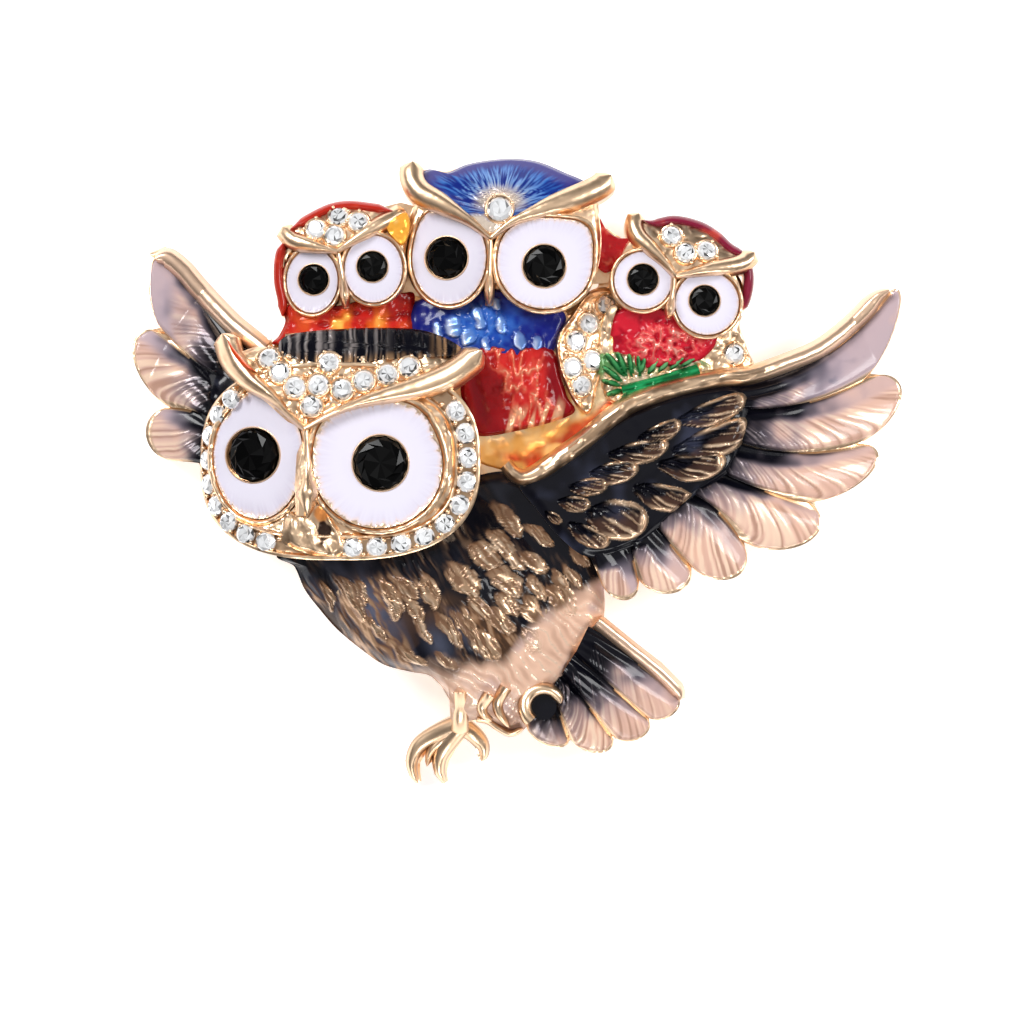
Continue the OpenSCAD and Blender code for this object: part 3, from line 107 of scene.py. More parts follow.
def spline(points, n, closed=False):
    """n points spaced evenly along a smooth curve through the given ones."""
    p = np.array(points, float)
    if closed:
        p = np.vstack([p[-1], p, p[0], p[1]])
    else:
        p = np.vstack([2 * p[0] - p[1], p, 2 * p[-1] - p[-2]])
    t = np.linspace(0, 1, 24, endpoint=False)[:, None]
    parts = []
    for a, b, c, d in zip(p[:-3], p[1:-2], p[2:-1], p[3:]):
        bend = (2 * a - 5 * b + 4 * c - d) * t ** 2 + (3 * b - 3 * c + d - a) * t ** 3
        parts.append(0.5 * (2 * b + (c - a) * t + bend))
    fine = np.vstack(parts + [p[-2][None]])
    run = np.concatenate([[0], np.cumsum(np.hypot(*np.diff(fine, axis=0).T))])
    at = np.linspace(0, run[-1], n, endpoint=not closed)
    return np.stack([np.interp(at, run, fine[:, 0]), np.interp(at, run, fine[:, 1])], axis=1)


def arc(centre, radius, angles):
    return np.stack([centre[0] + radius * np.cos(angles), centre[1] + radius * np.sin(angles)], axis=1)


def left_of(path):
    """Unit vectors to the left of a path at each of its points."""
    d = np.gradient(path, axis=0)
    d /= np.maximum(np.hypot(d[:, 0], d[:, 1]), 1e-9)[:, None]
    return np.stack([-d[:, 1], d[:, 0]], axis=1)


# Heights of the casting's surfaces

def back_z(x, y):
    r = (x / DOME_REACH[0]) ** 2 + (y / DOME_REACH[1]) ** 2
    return DOME_LIFT * (1 - np.minimum(1, r ** 1.5))


def level(z):
    return lambda x, y: np.full_like(x, z)


def foot_z(x, y):
    """Where a piece ends inside the casting."""
    return back_z(x, y) + 0.35


# Materials: each piece carries a tint and a share of bare metal at every point

GOLD = (0.93, 0.66, 0.43)
DARK_GOLD = (0.32, 0.18, 0.095)
BLACK = (0.003, 0.003, 0.006)
SLATE = (0.17, 0.17, 0.25)
SMOKE = (0.09, 0.10, 0.15)
WHITE = (0.72, 0.69, 0.79)
PEACH = (0.71, 0.435, 0.325)
LILAC = (0.47, 0.36, 0.385)
RED = (0.28, 0.003, 0.006)
AMBER = (0.90, 0.30, 0.03)
BLUE = (0.014, 0.055, 0.27)
DEEP_BLUE = (0.040, 0.036, 0.19)
GREEN = (0.004, 0.17, 0.045)
PALE_GOLD = (0.98, 0.78, 0.58)
ROSE_GOLD = (0.80, 0.55, 0.40)
BAND_GOLD = (0.86, 0.60, 0.43)
COVERT_GOLD = (0.84, 0.57, 0.37)
COVERT_LIGHT = (1.0, 0.80, 0.60)
BLACK_SHEEN = (0.030, 0.034, 0.060)
COVERT_BROWN = (0.07, 0.03, 0.018)
EYE_SHADE = (0.50, 0.44, 0.58)
EYE_EDGE = (0.84, 0.62, 0.50)
NAPE_GREY = (0.34, 0.30, 0.29)
NAPE_BROWN = (0.50, 0.29, 0.15)
ORANGE = (0.80, 0.27, 0.05)
HOLLOW_DARK = (0.03, 0.015, 0.01)
BROW_LINE = (0.62, 0.06, 0.01)
BARB_LIGHT = (0.95, 0.70, 0.52)
BARB_SHADE = (0.36, 0.20, 0.14)
BODY_BROWN = (0.060, 0.030, 0.016)
HAIR_BROWN = (0.20, 0.095, 0.045)
HAIR_GOLD = (0.56, 0.35, 0.21)
DOWN = (0.74, 0.48, 0.35)
DOWN_SHADE = (0.42, 0.24, 0.17)
DOWN_LIGHT = (0.96, 0.76, 0.58)
TUFT_SHADE = (0.15, 0.07, 0.035)
TUFT_GOLD = (0.56, 0.36, 0.22)
TUFT_LIGHT = (0.93, 0.70, 0.50)
CAP_LIGHT = (0.04, 0.155, 0.46)
CAP_SHADE = (0.004, 0.010, 0.15)
CAP_PALE = (0.28, 0.44, 0.72)
CAP_BARE = (0.90, 0.74, 0.58)
NIGHT_BLUE = (0.004, 0.006, 0.15)
COBALT = (0.008, 0.055, 0.34)
AZURE = (0.06, 0.20, 0.58)
GLEAM_BLUE = (0.20, 0.36, 0.70)
GLINT_BLUE = (0.62, 0.68, 0.82)
BELLY_RED = (0.56, 0.022, 0.018)
BELLY_DENT = (0.14, 0.001, 0.004)
BELLY_FOLD = (0.17, 0.001, 0.005)
BELLY_CREST_SHEEN = (0.78, 0.14, 0.08)
BELLY_HIGHLIGHT = (0.96, 0.50, 0.30)
BELLY_RIM = (0.18, 0.002, 0.006)
BELLY_STREAK = (0.93, 0.55, 0.32)
BASE_AMBER = (0.86, 0.42, 0.10)
BASE_HONEY = (0.93, 0.55, 0.20)
BASE_PALE = (0.98, 0.80, 0.52)
BASE_RED = (0.42, 0.015, 0.008)
BASE_CREST = (0.80, 0.10, 0.02)
EMBER = (0.46, 0.014, 0.010)
EMBER_GLOW = (0.88, 0.22, 0.02)
EMBER_HEART = (1.0, 0.62, 0.12)
EMBER_LINE = (0.16, 0.003, 0.004)
EMBER_RIM = (0.26, 0.003, 0.004)
CRIMSON = (0.52, 0.010, 0.026)
CRIMSON_DENT = (0.22, 0.0, 0.010)
CRIMSON_CREST_SHEEN = (0.82, 0.13, 0.12)
CRIMSON_HIGHLIGHT = (0.96, 0.50, 0.40)
CRIMSON_RIM = (0.26, 0.003, 0.016)
CAP_SHINE = (0.75, 0.10, 0.04)
LEFT_CAP_RED = (0.42, 0.02, 0.01)
RIGHT_CAP_RED = (0.20, 0.012, 0.035)
BARK_LIGHT = (0.02, 0.36, 0.12)
BARK_SHADE = (0.001, 0.05, 0.012)
BED_AMBER = (0.80, 0.36, 0.08)
BED_SHADE = (0.10, 0.06, 0.012)
BED_PALE = (0.98, 0.80, 0.58)
NEEDLE = (0.04, 0.24, 0.06)
LEAF = (0.006, 0.13, 0.03)
LEAF_PALE = (0.25, 0.52, 0.25)
LEAF_LIGHT = (0.12, 0.50, 0.18)
LEAF_VEIN = (0.001, 0.04, 0.01)
PATCH_RED = (0.42, 0.010, 0.014)
PATCH_RED_LIGHT = (0.80, 0.20, 0.12)
PATCH_AMBER = (0.92, 0.42, 0.05)
PATCH_AMBER_LIGHT = (0.98, 0.74, 0.30)
SIDE_RED = (0.5, 0.01, 0.02)


def principled(name, **settings):
    material = bpy.data.materials.new(name)
    material.use_nodes = True
    shader = material.node_tree.nodes["Principled BSDF"]
    for socket, value in settings.items():
        shader.inputs[socket.replace("_", " ")].default_value = value
    return material, shader


def attribute(material, name):
    node = material.node_tree.nodes.new("ShaderNodeAttribute")
    node.attribute_name = name
    return node


def relief_material():
    material, shader = principled("gold_and_enamel", Specular_IOR_Level=0.16, Coat_Weight=0.15,
                                  Coat_Roughness=0.04)
    links = material.node_tree.links
    tint, metal = attribute(material, "tint"), attribute(material, "metal")
    links.new(tint.outputs["Color"], shader.inputs["Base Color"])
    links.new(metal.outputs["Fac"], shader.inputs["Metallic"])
    spread = material.node_tree.nodes.new("ShaderNodeMapRange")
    spread.inputs["To Min"].default_value = 0.20
    spread.inputs["To Max"].default_value = 0.33
    links.new(metal.outputs["Fac"], spread.inputs["Value"])
    links.new(spread.outputs["Result"], shader.inputs["Roughness"])
    return material


def stone_material(name, **settings):
    material, shader = principled(name, Roughness=0.06, **settings)
    tint = attribute(material, "tint")
    material.node_tree.links.new(tint.outputs["Color"], shader.inputs["Base Color"])
    return material


def cast_metal():
    """Metal as cast, a little uneven."""
    material, shader = principled("bare_gold", Base_Color=(*GOLD, 1), Metallic=1.0, Roughness=0.3)
    nodes, links = material.node_tree.nodes, material.node_tree.links
    lumps, bump = nodes.new("ShaderNodeTexNoise"), nodes.new("ShaderNodeBump")
    lumps.inputs["Scale"].default_value = 1400
    bump.inputs["Strength"].default_value = 0.5
    bump.inputs["Distance"].default_value = 0.2 * MM
    place = nodes.new("ShaderNodeTexCoord")
    links.new(place.outputs["Object"], lumps.inputs["Vector"])
    links.new(lumps.outputs["Fac"], bump.inputs["Height"])
    links.new(bump.outputs["Normal"], shader.inputs["Normal"])
    return material


relief = relief_material()
clear_stone = stone_material("clear_stone", Metallic=0.35, Coat_Weight=1.0, Coat_Roughness=0.02)
jet_stone = stone_material("jet_stone", Metallic=0.0, Specular_IOR_Level=0.1)
bare_gold = cast_metal()
steel, _ = principled("pin_steel", Base_Color=(0.62, 0.60, 0.57, 1), Metallic=1.0, Roughness=0.28)


# Meshes

LIP = 0.28          # how far a colour runs down the wall of its pad
SHARP = 38          # degrees between two faces from which their edge is sharp


class Form:
    """Points and faces that grow piece by piece and end as one object."""

    def __init__(self):
        self.points, self.tints, self.metals, self.quads, self.loops = [], [], [], [], []
        self.count = 0

    def add(self, points, tint=GOLD, metal=1.0):
        points = np.asarray(points, float).reshape(-1, 3)
        n = len(points)
        self.points.append(points)
        self.tints.append(np.broadcast_to(np.asarray(tint, float), (n, 3)))
        self.metals.append(np.broadcast_to(np.asarray(metal, float), (n,)))
        self.count += n
        return self.count - n

    def shell(self, grid, tint, metal, around=False, apex=None, foot=foot_z, halve=0):
        """A closed solid under a grid of points; its rows run inward if it closes around.

        halve cuts each cell of an open grid in two along its rising (1) or falling (-1) diagonal.
        """
        rows, cols = grid.shape[:2]
        first = self.add(grid, np.reshape(tint, (-1, 3)), np.reshape(metal, -1))
        tints, metals = self.tints[-1], self.metals[-1]
        at = first + np.arange(rows * cols).reshape(rows, cols)
        if around:
            nxt = np.roll(at, -1, axis=1)
            self.quads.append(np.stack([at[:-1], nxt[:-1], nxt[1:], at[1:]], axis=-1).reshape(-1, 4))
            edge = at[0]
            if apex is None:
                self.loops.append(at[-1])
            else:
                tip = self.add([apex[0]], apex[1], apex[2])
                self.loops += [np.array([a, b, tip]) for a, b in zip(at[-1], nxt[-1])]
        else:
            a, b, c, d = at[:-1, :-1], at[1:, :-1], at[1:, 1:], at[:-1, 1:]
            for corners in {0: ((a, b, c, d),), 1: ((a, b, c), (a, c, d)), -1: ((a, b, d), (b, c, d))}[halve]:
                self.quads.append(np.stack(corners, axis=-1).reshape(-1, len(corners)))
            edge = np.concatenate([at[:-1, 0], at[-1, :-1], at[:0:-1, -1], at[0, :0:-1]])
        own = tints[edge - first], metals[edge - first]
        self.wall(edge, np.reshape(grid, (-1, 3))[edge - first], own, foot)

    def wall(self, edge, top, own, foot):
        """The side under an edge: a lip in the edge's own colours, then bare metal down to the foot."""
        tall = np.maximum(0.05, top[:, 2] - foot(top[:, 0], top[:, 1]))
        bare = GOLD, 1.0
        lip, under_lip = np.minimum(LIP, 0.4 * tall), np.minimum(LIP + 0.05, 0.5 * tall)
        for drop, look in ((lip, own), (under_lip, bare), (tall, bare)):
            ring = self.add(top - np.outer(drop, (0, 0, 1)), *look) + np.arange(len(edge))
            self.quads.append(np.stack([edge, ring, np.roll(ring, -1), np.roll(edge, -1)], axis=-1))
            edge = ring
        self.loops.append(edge[::-1])

    def mesh(self, name):
        points = np.concatenate(self.points)
        tints = np.concatenate(self.tints)
        sizes = [np.full(len(f), f.shape[1]) for f in self.quads] + [[len(f)] for f in self.loops]
        sizes = np.concatenate(sizes).astype(np.int32)
        index = np.concatenate([f.ravel() for f in self.quads] + list(self.loops)).astype(np.int32)
        mesh = bpy.data.meshes.new(name)
        mesh.vertices.add(len(points))
        mesh.vertices.foreach_set("co", (points * MM).astype(np.float32).ravel())
        mesh.loops.add(len(index))
        mesh.loops.foreach_set("vertex_index", index)
        mesh.polygons.add(len(sizes))
        mesh.polygons.foreach_set("loop_start", (np.cumsum(sizes) - sizes).astype(np.int32))
        mesh.update(calc_edges=True)
        mesh.validate()
        opaque = np.hstack([tints, np.ones((len(tints), 1))])
        tint = mesh.attributes.new("tint", "FLOAT_COLOR", "POINT")
        tint.data.foreach_set("color", opaque.astype(np.float32).ravel())
        metal = mesh.attributes.new("metal", "FLOAT", "POINT")
        metal.data.foreach_set("value", np.concatenate(self.metals).astype(np.float32))
        return mesh

    def build(self, name, slot, node=None, material=None):
        """One piece of the scene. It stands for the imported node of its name, or for the given one.

        A piece that has a node's name gets _look after it.
        """
        node = node or name
        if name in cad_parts:
            name += "_look"
        mesh = self.mesh(name)
        smooth = material is None
        mesh.polygons.foreach_set("use_smooth", np.full(len(mesh.polygons), smooth))
        if smooth:
            mesh.set_sharp_from_angle(angle=math.radians(SHARP))
        mesh.materials.append(material or relief)
        piece = bpy.data.objects.new(name, mesh)
        bpy.context.scene.collection.objects.link(piece)
        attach(piece, "root")
        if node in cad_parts:
            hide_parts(node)


def coloured(base, *layers):
    """Tints from a base colour with (colour, share) layers over it."""
    out = np.asarray(base, float)
    for colour, share in layers:
        share = np.asarray(share, float)[..., None]
        out = out * (1 - share) + np.asarray(colour, float) * share
    return out


def gilt(*darks):
    """Gold that is darkened by one share after another."""
    return coloured(GOLD, *((DARK_GOLD, share) for share in darks))


def pad_grid(outline, middle, rows):
    """Points on rings from the outline to the middle, closer together near the edge, and their shares."""
    s = np.sin(0.5 * np.pi * np.linspace(1, 0, rows, endpoint=False))
    middle = np.asarray(middle, float)
    rings = middle + (outline[None] - middle) * s[:, None, None]
    return rings, np.broadcast_to(s[:, None], (rows, len(outline)))


def pad(form, outline, points, middle, rows, surface):
    """A closed area of metal or enamel with a number of points along its outline.

    surface(x, y, s) gives height, tint and metal; s is 1 at the edge.
    """
    xy, s = pad_grid(spline(outline, points, closed=True), middle, rows)
    z, tint, metal = surface(xy[..., 0], xy[..., 1], s)
    m = np.asarray(middle, float)
    mz, mt, mm = surface(m[0:1], m[1:2], np.zeros(1))
    apex = ((m[0], m[1], mz[0]), mt[0], mm[0])
    form.shell(np.dstack([xy, z]), tint, metal, around=True, apex=apex)


def ridge(form, path, half, surface, rows=90, cols=11, foot=foot_z):
    """A raised band along a path; surface(x, y, t, w) has w from -1 to 1 across.

    half(t) is half its width, or the reach to the (left, right).
    """
    line = spline(path, rows)
    side = left_of(line)
    t = np.linspace(0, 1, rows)
    w = np.sin(0.5 * np.pi * np.linspace(-1, 1, cols))
    reach = half(t)
    left, right = reach if isinstance(reach, tuple) else (reach, reach)
    reach = np.where(w[None] > 0, left[:, None], right[:, None])
    xy = line[:, None] + side[:, None] * (reach * w[None])[..., None]
    tt, ww = np.meshgrid(t, w, indexing="ij")
    z, tint, metal = surface(xy[..., 0], xy[..., 1], tt, ww)
    grid = np.dstack([xy, z])
    form.shell(grid, tint, metal, foot=foot)


def bead(form, x, y, z, r, tint=GOLD):
    """A small ball of metal."""
    n, rows = 10, 5
    a = np.linspace(0, 2 * np.pi, n, endpoint=False)
    b = np.linspace(0, 0.42 * np.pi, rows)
    grid = np.zeros((rows, n, 3))
    grid[..., 0] = x + r * np.cos(b)[:, None] * np.cos(a)
    grid[..., 1] = y + r * np.cos(b)[:, None] * np.sin(a)
    grid[..., 2] = z + r * np.sin(b)[:, None]
    form.shell(grid, np.broadcast_to(tint, (rows, n, 3)), np.ones((rows, n)), around=True,
               apex=((x, y, z + r), tint, 1.0), foot=level(z - 1.0))


def normal_at(surface, x, y):
    e = 0.1
    dx = (surface(x + e, y) - surface(x - e, y)) / (2 * e)
    dy = (surface(x, y + e) - surface(x, y - e)) / (2 * e)
    return Vector((-float(dx), -float(dy), 1)).normalized()


# Rings of a clear stone and a black one, from the girdle to the table: radius and height as shares of the
# stone's radius, number of points, and turn in steps of a point
CHATON = ((1.0, 0.0, 16, 0.0), (0.80, 0.26, 8, 0.5), (0.58, 0.40, 8, 0.0))
JET = ((1.0, 0.0, 12, 0.0), (0.86, 0.16, 12, 0.5), (0.60, 0.28, 12, 0.0))


# Painted reflections: each facet gets one flat grey level for the light it would reflect, from near white to
# near black on a clear stone, near black on a black one
def facet_reflection(random, dark):
    if dark:
        return np.full(3, random.choice([0.001, 0.003, 0.006, 0.012], p=[0.45, 0.3, 0.17, 0.08]))
    level = random.choice([0.98, 0.88, 0.62, 0.30, 0.10], p=[0.48, 0.24, 0.13, 0.09, 0.06])
    return level * np.array([0.98, 0.99, 1.0])


def crown_facets(lower, upper, split):
    """Facets between two rings; split puts a corner in the middle of each upper edge."""
    m = len(upper)
    for k in range(m):
        top = [upper[(k + 1) % m], upper[k]]
        if split:
            top.insert(1, (top[0] + top[1]) / 2)
        if len(lower) == 2 * m:
            a, b, c = lower[2 * k], lower[2 * k + 1], lower[(2 * k + 2) % len(lower)]
            yield [a, b, upper[k]]
            yield [b, c, upper[k]]
            yield [c] + top
        else:
            yield [lower[k], lower[(k + 1) % m], upper[k]]
            yield [lower[(k + 1) % m]] + top


def table_facets(table, split):
    """The table's facets, from its edge to its middle; split makes two of each."""
    centre = table.mean(axis=0)
    for a, b in zip(table, np.roll(table, -1, axis=0)):
        corners = [a, (a + b) / 2, b] if split else [a, b]
        for p, q in zip(corners[:-1], corners[1:]):
            yield [p, q, centre]


def cut_stone(form, x, y, z, d, normal, seed, rings=CHATON, depth=0.3, dark=False):
    """A faceted stone whose facets carry painted reflections as flat grey levels."""
    random = np.random.default_rng(seed)
    turn = np.array(Vector((0, 0, 1)).rotation_difference(normal).to_matrix())
    spin = random.uniform(0, 2 * np.pi)
    r = d / 2

    def place(radius, height, n, shift):
        a = spin + 2 * np.pi * (np.arange(n) + shift) / n
        local = np.stack([r * radius * np.cos(a), r * radius * np.sin(a), np.full(n, height * r)], axis=1)
        return np.array([x, y, z]) + local @ turn.T

    low = place(rings[0][0], -depth, *rings[0][2:])
    levels = [place(*ring) for ring in rings]
    girdle = levels[0]
    facets = list(zip(low, np.roll(low, -1, axis=0), np.roll(girdle, -1, axis=0), girdle))
    for lower, upper in zip(levels[:-1], levels[1:]):
        facets += crown_facets(lower, upper, upper is levels[-1] and not dark)
    facets += table_facets(levels[-1], not dark)
    for corners in facets:
        start = form.add(corners, facet_reflection(random, dark), 0.0)
        form.loops.append(start + np.arange(len(corners)))
    form.loops.append(form.add(low, facet_reflection(random, dark), 0.0) + np.arange(len(low))[::-1])


# The casting's core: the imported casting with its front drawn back, under the pieces that carry the relief

CORE_DROP = 1.1


def casting_core():
    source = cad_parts["casting"]
    mesh = source.data.copy()
    co = np.zeros(len(mesh.vertices) * 3)
    mesh.vertices.foreach_get("co", co)
    co = co.reshape(-1, 3) / MM
    floor = back_z(co[:, 0], co[:, 1])
    front = co[:, 2] > floor + 0.25
    # The long wing's shoulder is drawn back further, as its coverts taper off low over the feathers
    drop = CORE_DROP + 1.1 * ease(7.0, 5.5, np.hypot(co[:, 0] - 16.5, co[:, 1] - 2.0))
    co[front, 2] = np.maximum(floor[front] + 0.25, co[front, 2] - drop[front])
    mesh.vertices.foreach_set("co", (co * MM).ravel())
    mesh.update()
    mesh.materials.clear()
    mesh.materials.append(bare_gold)
    core = bpy.data.objects.new("casting_core", mesh)
    bpy.context.scene.collection.objects.link(core)
    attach(core, "root")
    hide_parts("casting")


# The mother's head

HEAD = (-14.1, 0.8)
HEAD_REACH = (11.2, 7.8)
HEAD_POWER = 2.6
FACE_TOP = 10.2
TURN_X, TURN_R = -17.19, 9.09
STONE_D = 1.65
EYE_RIM = 0.5
LEFT_EYE_AT = (-20.45, 1.2)


def mother_z(x, y):
    d = np.clip(TURN_X - x, 0, TURN_R * 0.92)
    return FACE_TOP - (TURN_R - np.sqrt(TURN_R ** 2 - d ** 2))


def forehead_z(x, y):
    return mother_z(x, y) + 0.35 - 0.1 * np.maximum(0, y - HEAD[1] - 5.6) ** 2


def head_radius(a):
    n = HEAD_POWER
    return (np.abs(np.cos(a) / HEAD_REACH[0]) ** n + np.abs(np.sin(a) / HEAD_REACH[1]) ** n) ** (-1 / n)


def head_point(a, inset):
    """A point of the head at an angle, in from its outline by a distance along the sloping face."""
    r = head_radius(a)
    d = np.clip(TURN_X - HEAD[0] - np.cos(a) * (r - 0.94), 0, TURN_R * 0.92)
    slope = d / np.sqrt(TURN_R ** 2 - d ** 2)
    k = r - inset / np.sqrt(1 + (slope * np.cos(a)) ** 2)
    return HEAD[0] + k * np.cos(a), HEAD[1] + k * np.sin(a)


def sunk(x, y, centre, reach):
    """How far a plate is drawn back under an eye."""
    return 2.4 * ease(1.15, 0.95, ((x - centre[0]) / reach[0]) ** 2 + ((y - centre[1]) / reach[1]) ** 2)


def hammered(x, y, seed, deep=0.10, size=0.55):
    """Relief and tint of cast metal with small lumps."""
    lump = rough(x, y, size, seed)
    tint = coloured(GOLD, (DARK_GOLD, 0.75 * ease(0.1, -0.7, lump)), (PALE_GOLD, 0.5 * ease(0.2, 0.9, lump)))
    return deep * lump, tint


def head_plate():
    n = 300
    a = np.linspace(0, 2 * np.pi, n, endpoint=False)
    insets = np.concatenate([np.linspace(0, 2.4, 26), np.linspace(2.55, 6.8, 22)])
    xy = np.array([np.stack(head_point(a, d), axis=1) for d in insets])
    x, y = xy[..., 0], xy[..., 1]
    d = insets[:, None] + 0 * x
    rim = 0.16 * np.sqrt(np.clip(1 - ((d - 0.2) / 0.22) ** 2, 0, 1))
    wall = 0.16 * np.sqrt(np.clip(1 - ((d - 1.85) / 0.22) ** 2, 0, 1))
    floor = -0.34 * ease(0.3, 0.5, d) * ease(1.8, 1.6, d) - 0.2 * ease(1.95, 2.2, d)
    lump, tint = hammered(x, y, 3)
    z = mother_z(x, y) + rim + wall + floor + lump * (0.5 + 1.3 * ease(1.9, 2.4, d))
    z = z - 0.9 * ease(5.6, 7.4, y - HEAD[1]) * ease(0.3, 1.2, d)
    z = z - sunk(x, y, LEFT_EYE_AT, (3.9, 5.2))
    tint = coloured(tint, (DARK_GOLD, 0.55 * ease(0.35, 0.6, d) * ease(1.75, 1.5, d)))
    form = Form()
    form.shell(np.dstack([x, y, z]), tint, np.ones_like(x), around=True,
               apex=((HEAD[0], HEAD[1], FACE_TOP - 0.3), GOLD, 1.0))
    return form


RIGHT_ANGLES = (23, 12.3, 1.6, -9.1, -19.8, -30.5, -41.2, -52.7, -65.7, -80.5)
LEFT_ANGLES = (150, 159.1, 168.9, 179.2, 189.6, 199.5, 208.6, 217.9, 228)


def halo_prongs(form, angles):
    """Beads of metal that hold the stones, two at each end of every stone."""
    a = np.radians(angles)
    step = np.mean(np.abs(np.diff(a))) / 2
    if a[0] > a[-1]:
        step = -step
    ends = np.concatenate([a - step, a[-1:] + step])
    for turn in ends:
        for inset in (0.42, 1.5):
            x, y = head_point(turn, inset)
            bead(form, x, y, float(mother_z(x, y)) - 0.06, 0.21)


def stone_field(node, places, surface, d=STONE_D, lift=0.0, name=None):
    """Clear stones at places on a surface."""
    name = name or node
    form = Form()
    for k, (x, y) in enumerate(places):
        z = float(surface(x, y)) + lift
        cut_stone(form, x, y, z, d, normal_at(surface, x, y), 11 * k + len(name))
    form.build(name, "clear_stone", node, clear_stone)


# Across a seat's edge: distance out from the stone, and height
SEAT_PROFILE = ((0.26, -0.45), (0.2, -0.02), (0.1, 0.08), (0.01, 0.03), (-0.02, -0.2))


def seat_ring(form, x, y, z, d, normal, seed=0):
    """The thin raised edge of metal round a stone, with four beads."""
    n = 28
    a = np.linspace(0, 2 * np.pi, n, endpoint=False)
    turn = np.array(Vector((0, 0, 1)).rotation_difference(normal).to_matrix())
    rows = []
    for out, h in SEAT_PROFILE:
        r = d / 2 + out
        local = np.stack([r * np.cos(a), r * np.sin(a), np.full(n, h)], axis=1)
        rows.append(np.array([x, y, z]) + local @ turn.T)
    grid = np.array(rows)
    form.shell(grid, np.broadcast_to(GOLD, grid.shape), np.ones(grid.shape[:2]), around=True,
               apex=(grid[-1].mean(axis=0) - 0.05, DARK_GOLD, 1.0), foot=level(z - 1.2))
    for k in range(4):
        b = seed + 2 * np.pi * k / 4
        local = turn @ np.array([(d / 2 + 0.12) * np.cos(b), (d / 2 + 0.12) * np.sin(b), 0.02])
        bead(form, x + local[0], y + local[1], z + local[2], 0.17)


def seats(form, places, surface, d, lift, turn):
    """Seats for stones at places on a surface, each turned on from the one before."""
    for k, (x, y) in enumerate(places):
        seat_ring(form, x, y, float(surface(x, y)) + lift, d, normal_at(surface, x, y), turn * k)


def beads(form, places, surface, lift, r):
    for x, y in places:
        bead(form, x, y, float(surface(x, y)) + lift, r)


# Eyes

# Across the ring of metal round a pupil, from the enamel to the stone: share of its width, and height
PUPIL_RING = ((0.75, 0.10), (0.5, 0.22), (0.25, 0.22), (0.0, 0.06), (-0.15, -0.35))


def eye_rim(centre, reach, rim, a, out, seed):
    """Rows of points at the angles a: x, y, height, share of bare metal and tint."""
    for t in np.linspace(0, 1, 9):
        grow = rim * (1 - t)
        x = centre[0] + (reach[0] + grow) * out * np.cos(a)
        y = centre[1] + (reach[1] + grow) * out * np.sin(a)
        lump = rough(x, y, 0.6, seed + 20)
        h = 0.12 + 0.34 * np.sin(np.pi * (0.15 + 0.85 * t)) ** 0.7 - 0.1 * t + 0.18 * rim * lump
        yield x, y, h, 1.0, gilt(0.45 * ease(-0.1, -0.8, lump))


def eye_enamel(centre, reach, pupil, seat, a, out, teeth, seed):
    """Rows of the white disc, with bites of metal in its edge."""
    ca, sa = np.cos(a), np.sin(a)
    flutes = noise(a * 26, 0 * a, 0.9, seed) * 0.6 + 0.4 * noise(a * 55, 0 * a, 1.0, seed + 3)
    strength = 0.35 + 0.65 * noise(a * 2.2, 0 * a, 1.0, seed + 9)
    bite = 1 - teeth * 0.27 * flutes ** 1.3 * strength
    for t in np.sin(0.5 * np.pi * np.linspace(1, 0.0, 26)):
        x = mix(pupil[0] + seat * ca, centre[0] + reach[0] * out * ca, t)
        y = mix(pupil[1] + seat * sa, centre[1] + reach[1] * out * sa, t)
        bare = ease(bite, bite + 0.03, t)
        h = 0.24 - 0.14 * (1 - t ** 2) - 0.09 * (flutes - 0.5) * ease(0.62, 0.95, t) + 0.08 * bare
        tint = coloured(WHITE, (EYE_SHADE, 0.45 * flutes * ease(0.35, 0.95, t)),
                        (EYE_EDGE, 0.5 * ease(bite - 0.14, bite, t)), (GOLD, bare))
        yield x, y, h, bare, tint


def pupil_ring(pupil, pupil_d, width, a):
    for share, h in PUPIL_RING:
        r = pupil_d / 2 + width * share
        yield pupil[0] + r * np.cos(a), pupil[1] + r * np.sin(a), h, 1.0, GOLD


def eye(name, centre, reach, pupil, pupil_d, top, slope, seed, gold_ring=0.16, teeth=0.9, rim=EYE_RIM,
        corners=()):
    """A white enamel disc with a fluted edge in a rim of metal, round the seat of a black stone.

    corners lists the angles at which the disc reaches further out, or less far, each with its share.
    """
    n = 280 if reach[0] > 3 else 180
    a = np.linspace(0, 2 * np.pi, n, endpoint=False)
    out = 1 + sum((share * bell(a, math.radians(at), 0.40) for at, share in corners), 0 * a)
    edge_x = centre[0] + reach[0]

    def plane(x):
        return top + slope * np.minimum(0, x - edge_x)

    rows = [*eye_rim(centre, reach, rim, a, out, seed),
            *eye_enamel(centre, reach, pupil, pupil_d / 2 + gold_ring, a, out, teeth, seed),
            *pupil_ring(pupil, pupil_d, gold_ring, a)]
    grid = np.array([np.stack([x, y, plane(x) + h], axis=1) for x, y, h, _, _ in rows])
    metals = np.array([np.broadcast_to(row[3], (n,)) for row in rows])
    tints = np.array([np.broadcast_to(row[4], (n, 3)) for row in rows])
    middle = float(plane(pupil[0]))
    form = Form()
    form.shell(grid, tints, metals, around=True, apex=((*pupil, middle - 0.35), DARK_GOLD, 1.0))
    form.build(name, "white_enamel")
    stone = Form()
    cut_stone(stone, *pupil, middle + 0.12, pupil_d, Vector((-slope, 0, 1)).normalized(), seed, JET, 0.45,
              dark=True)
    stone.build(name.replace("eye", "pupil"), "jet_stone", material=jet_stone)


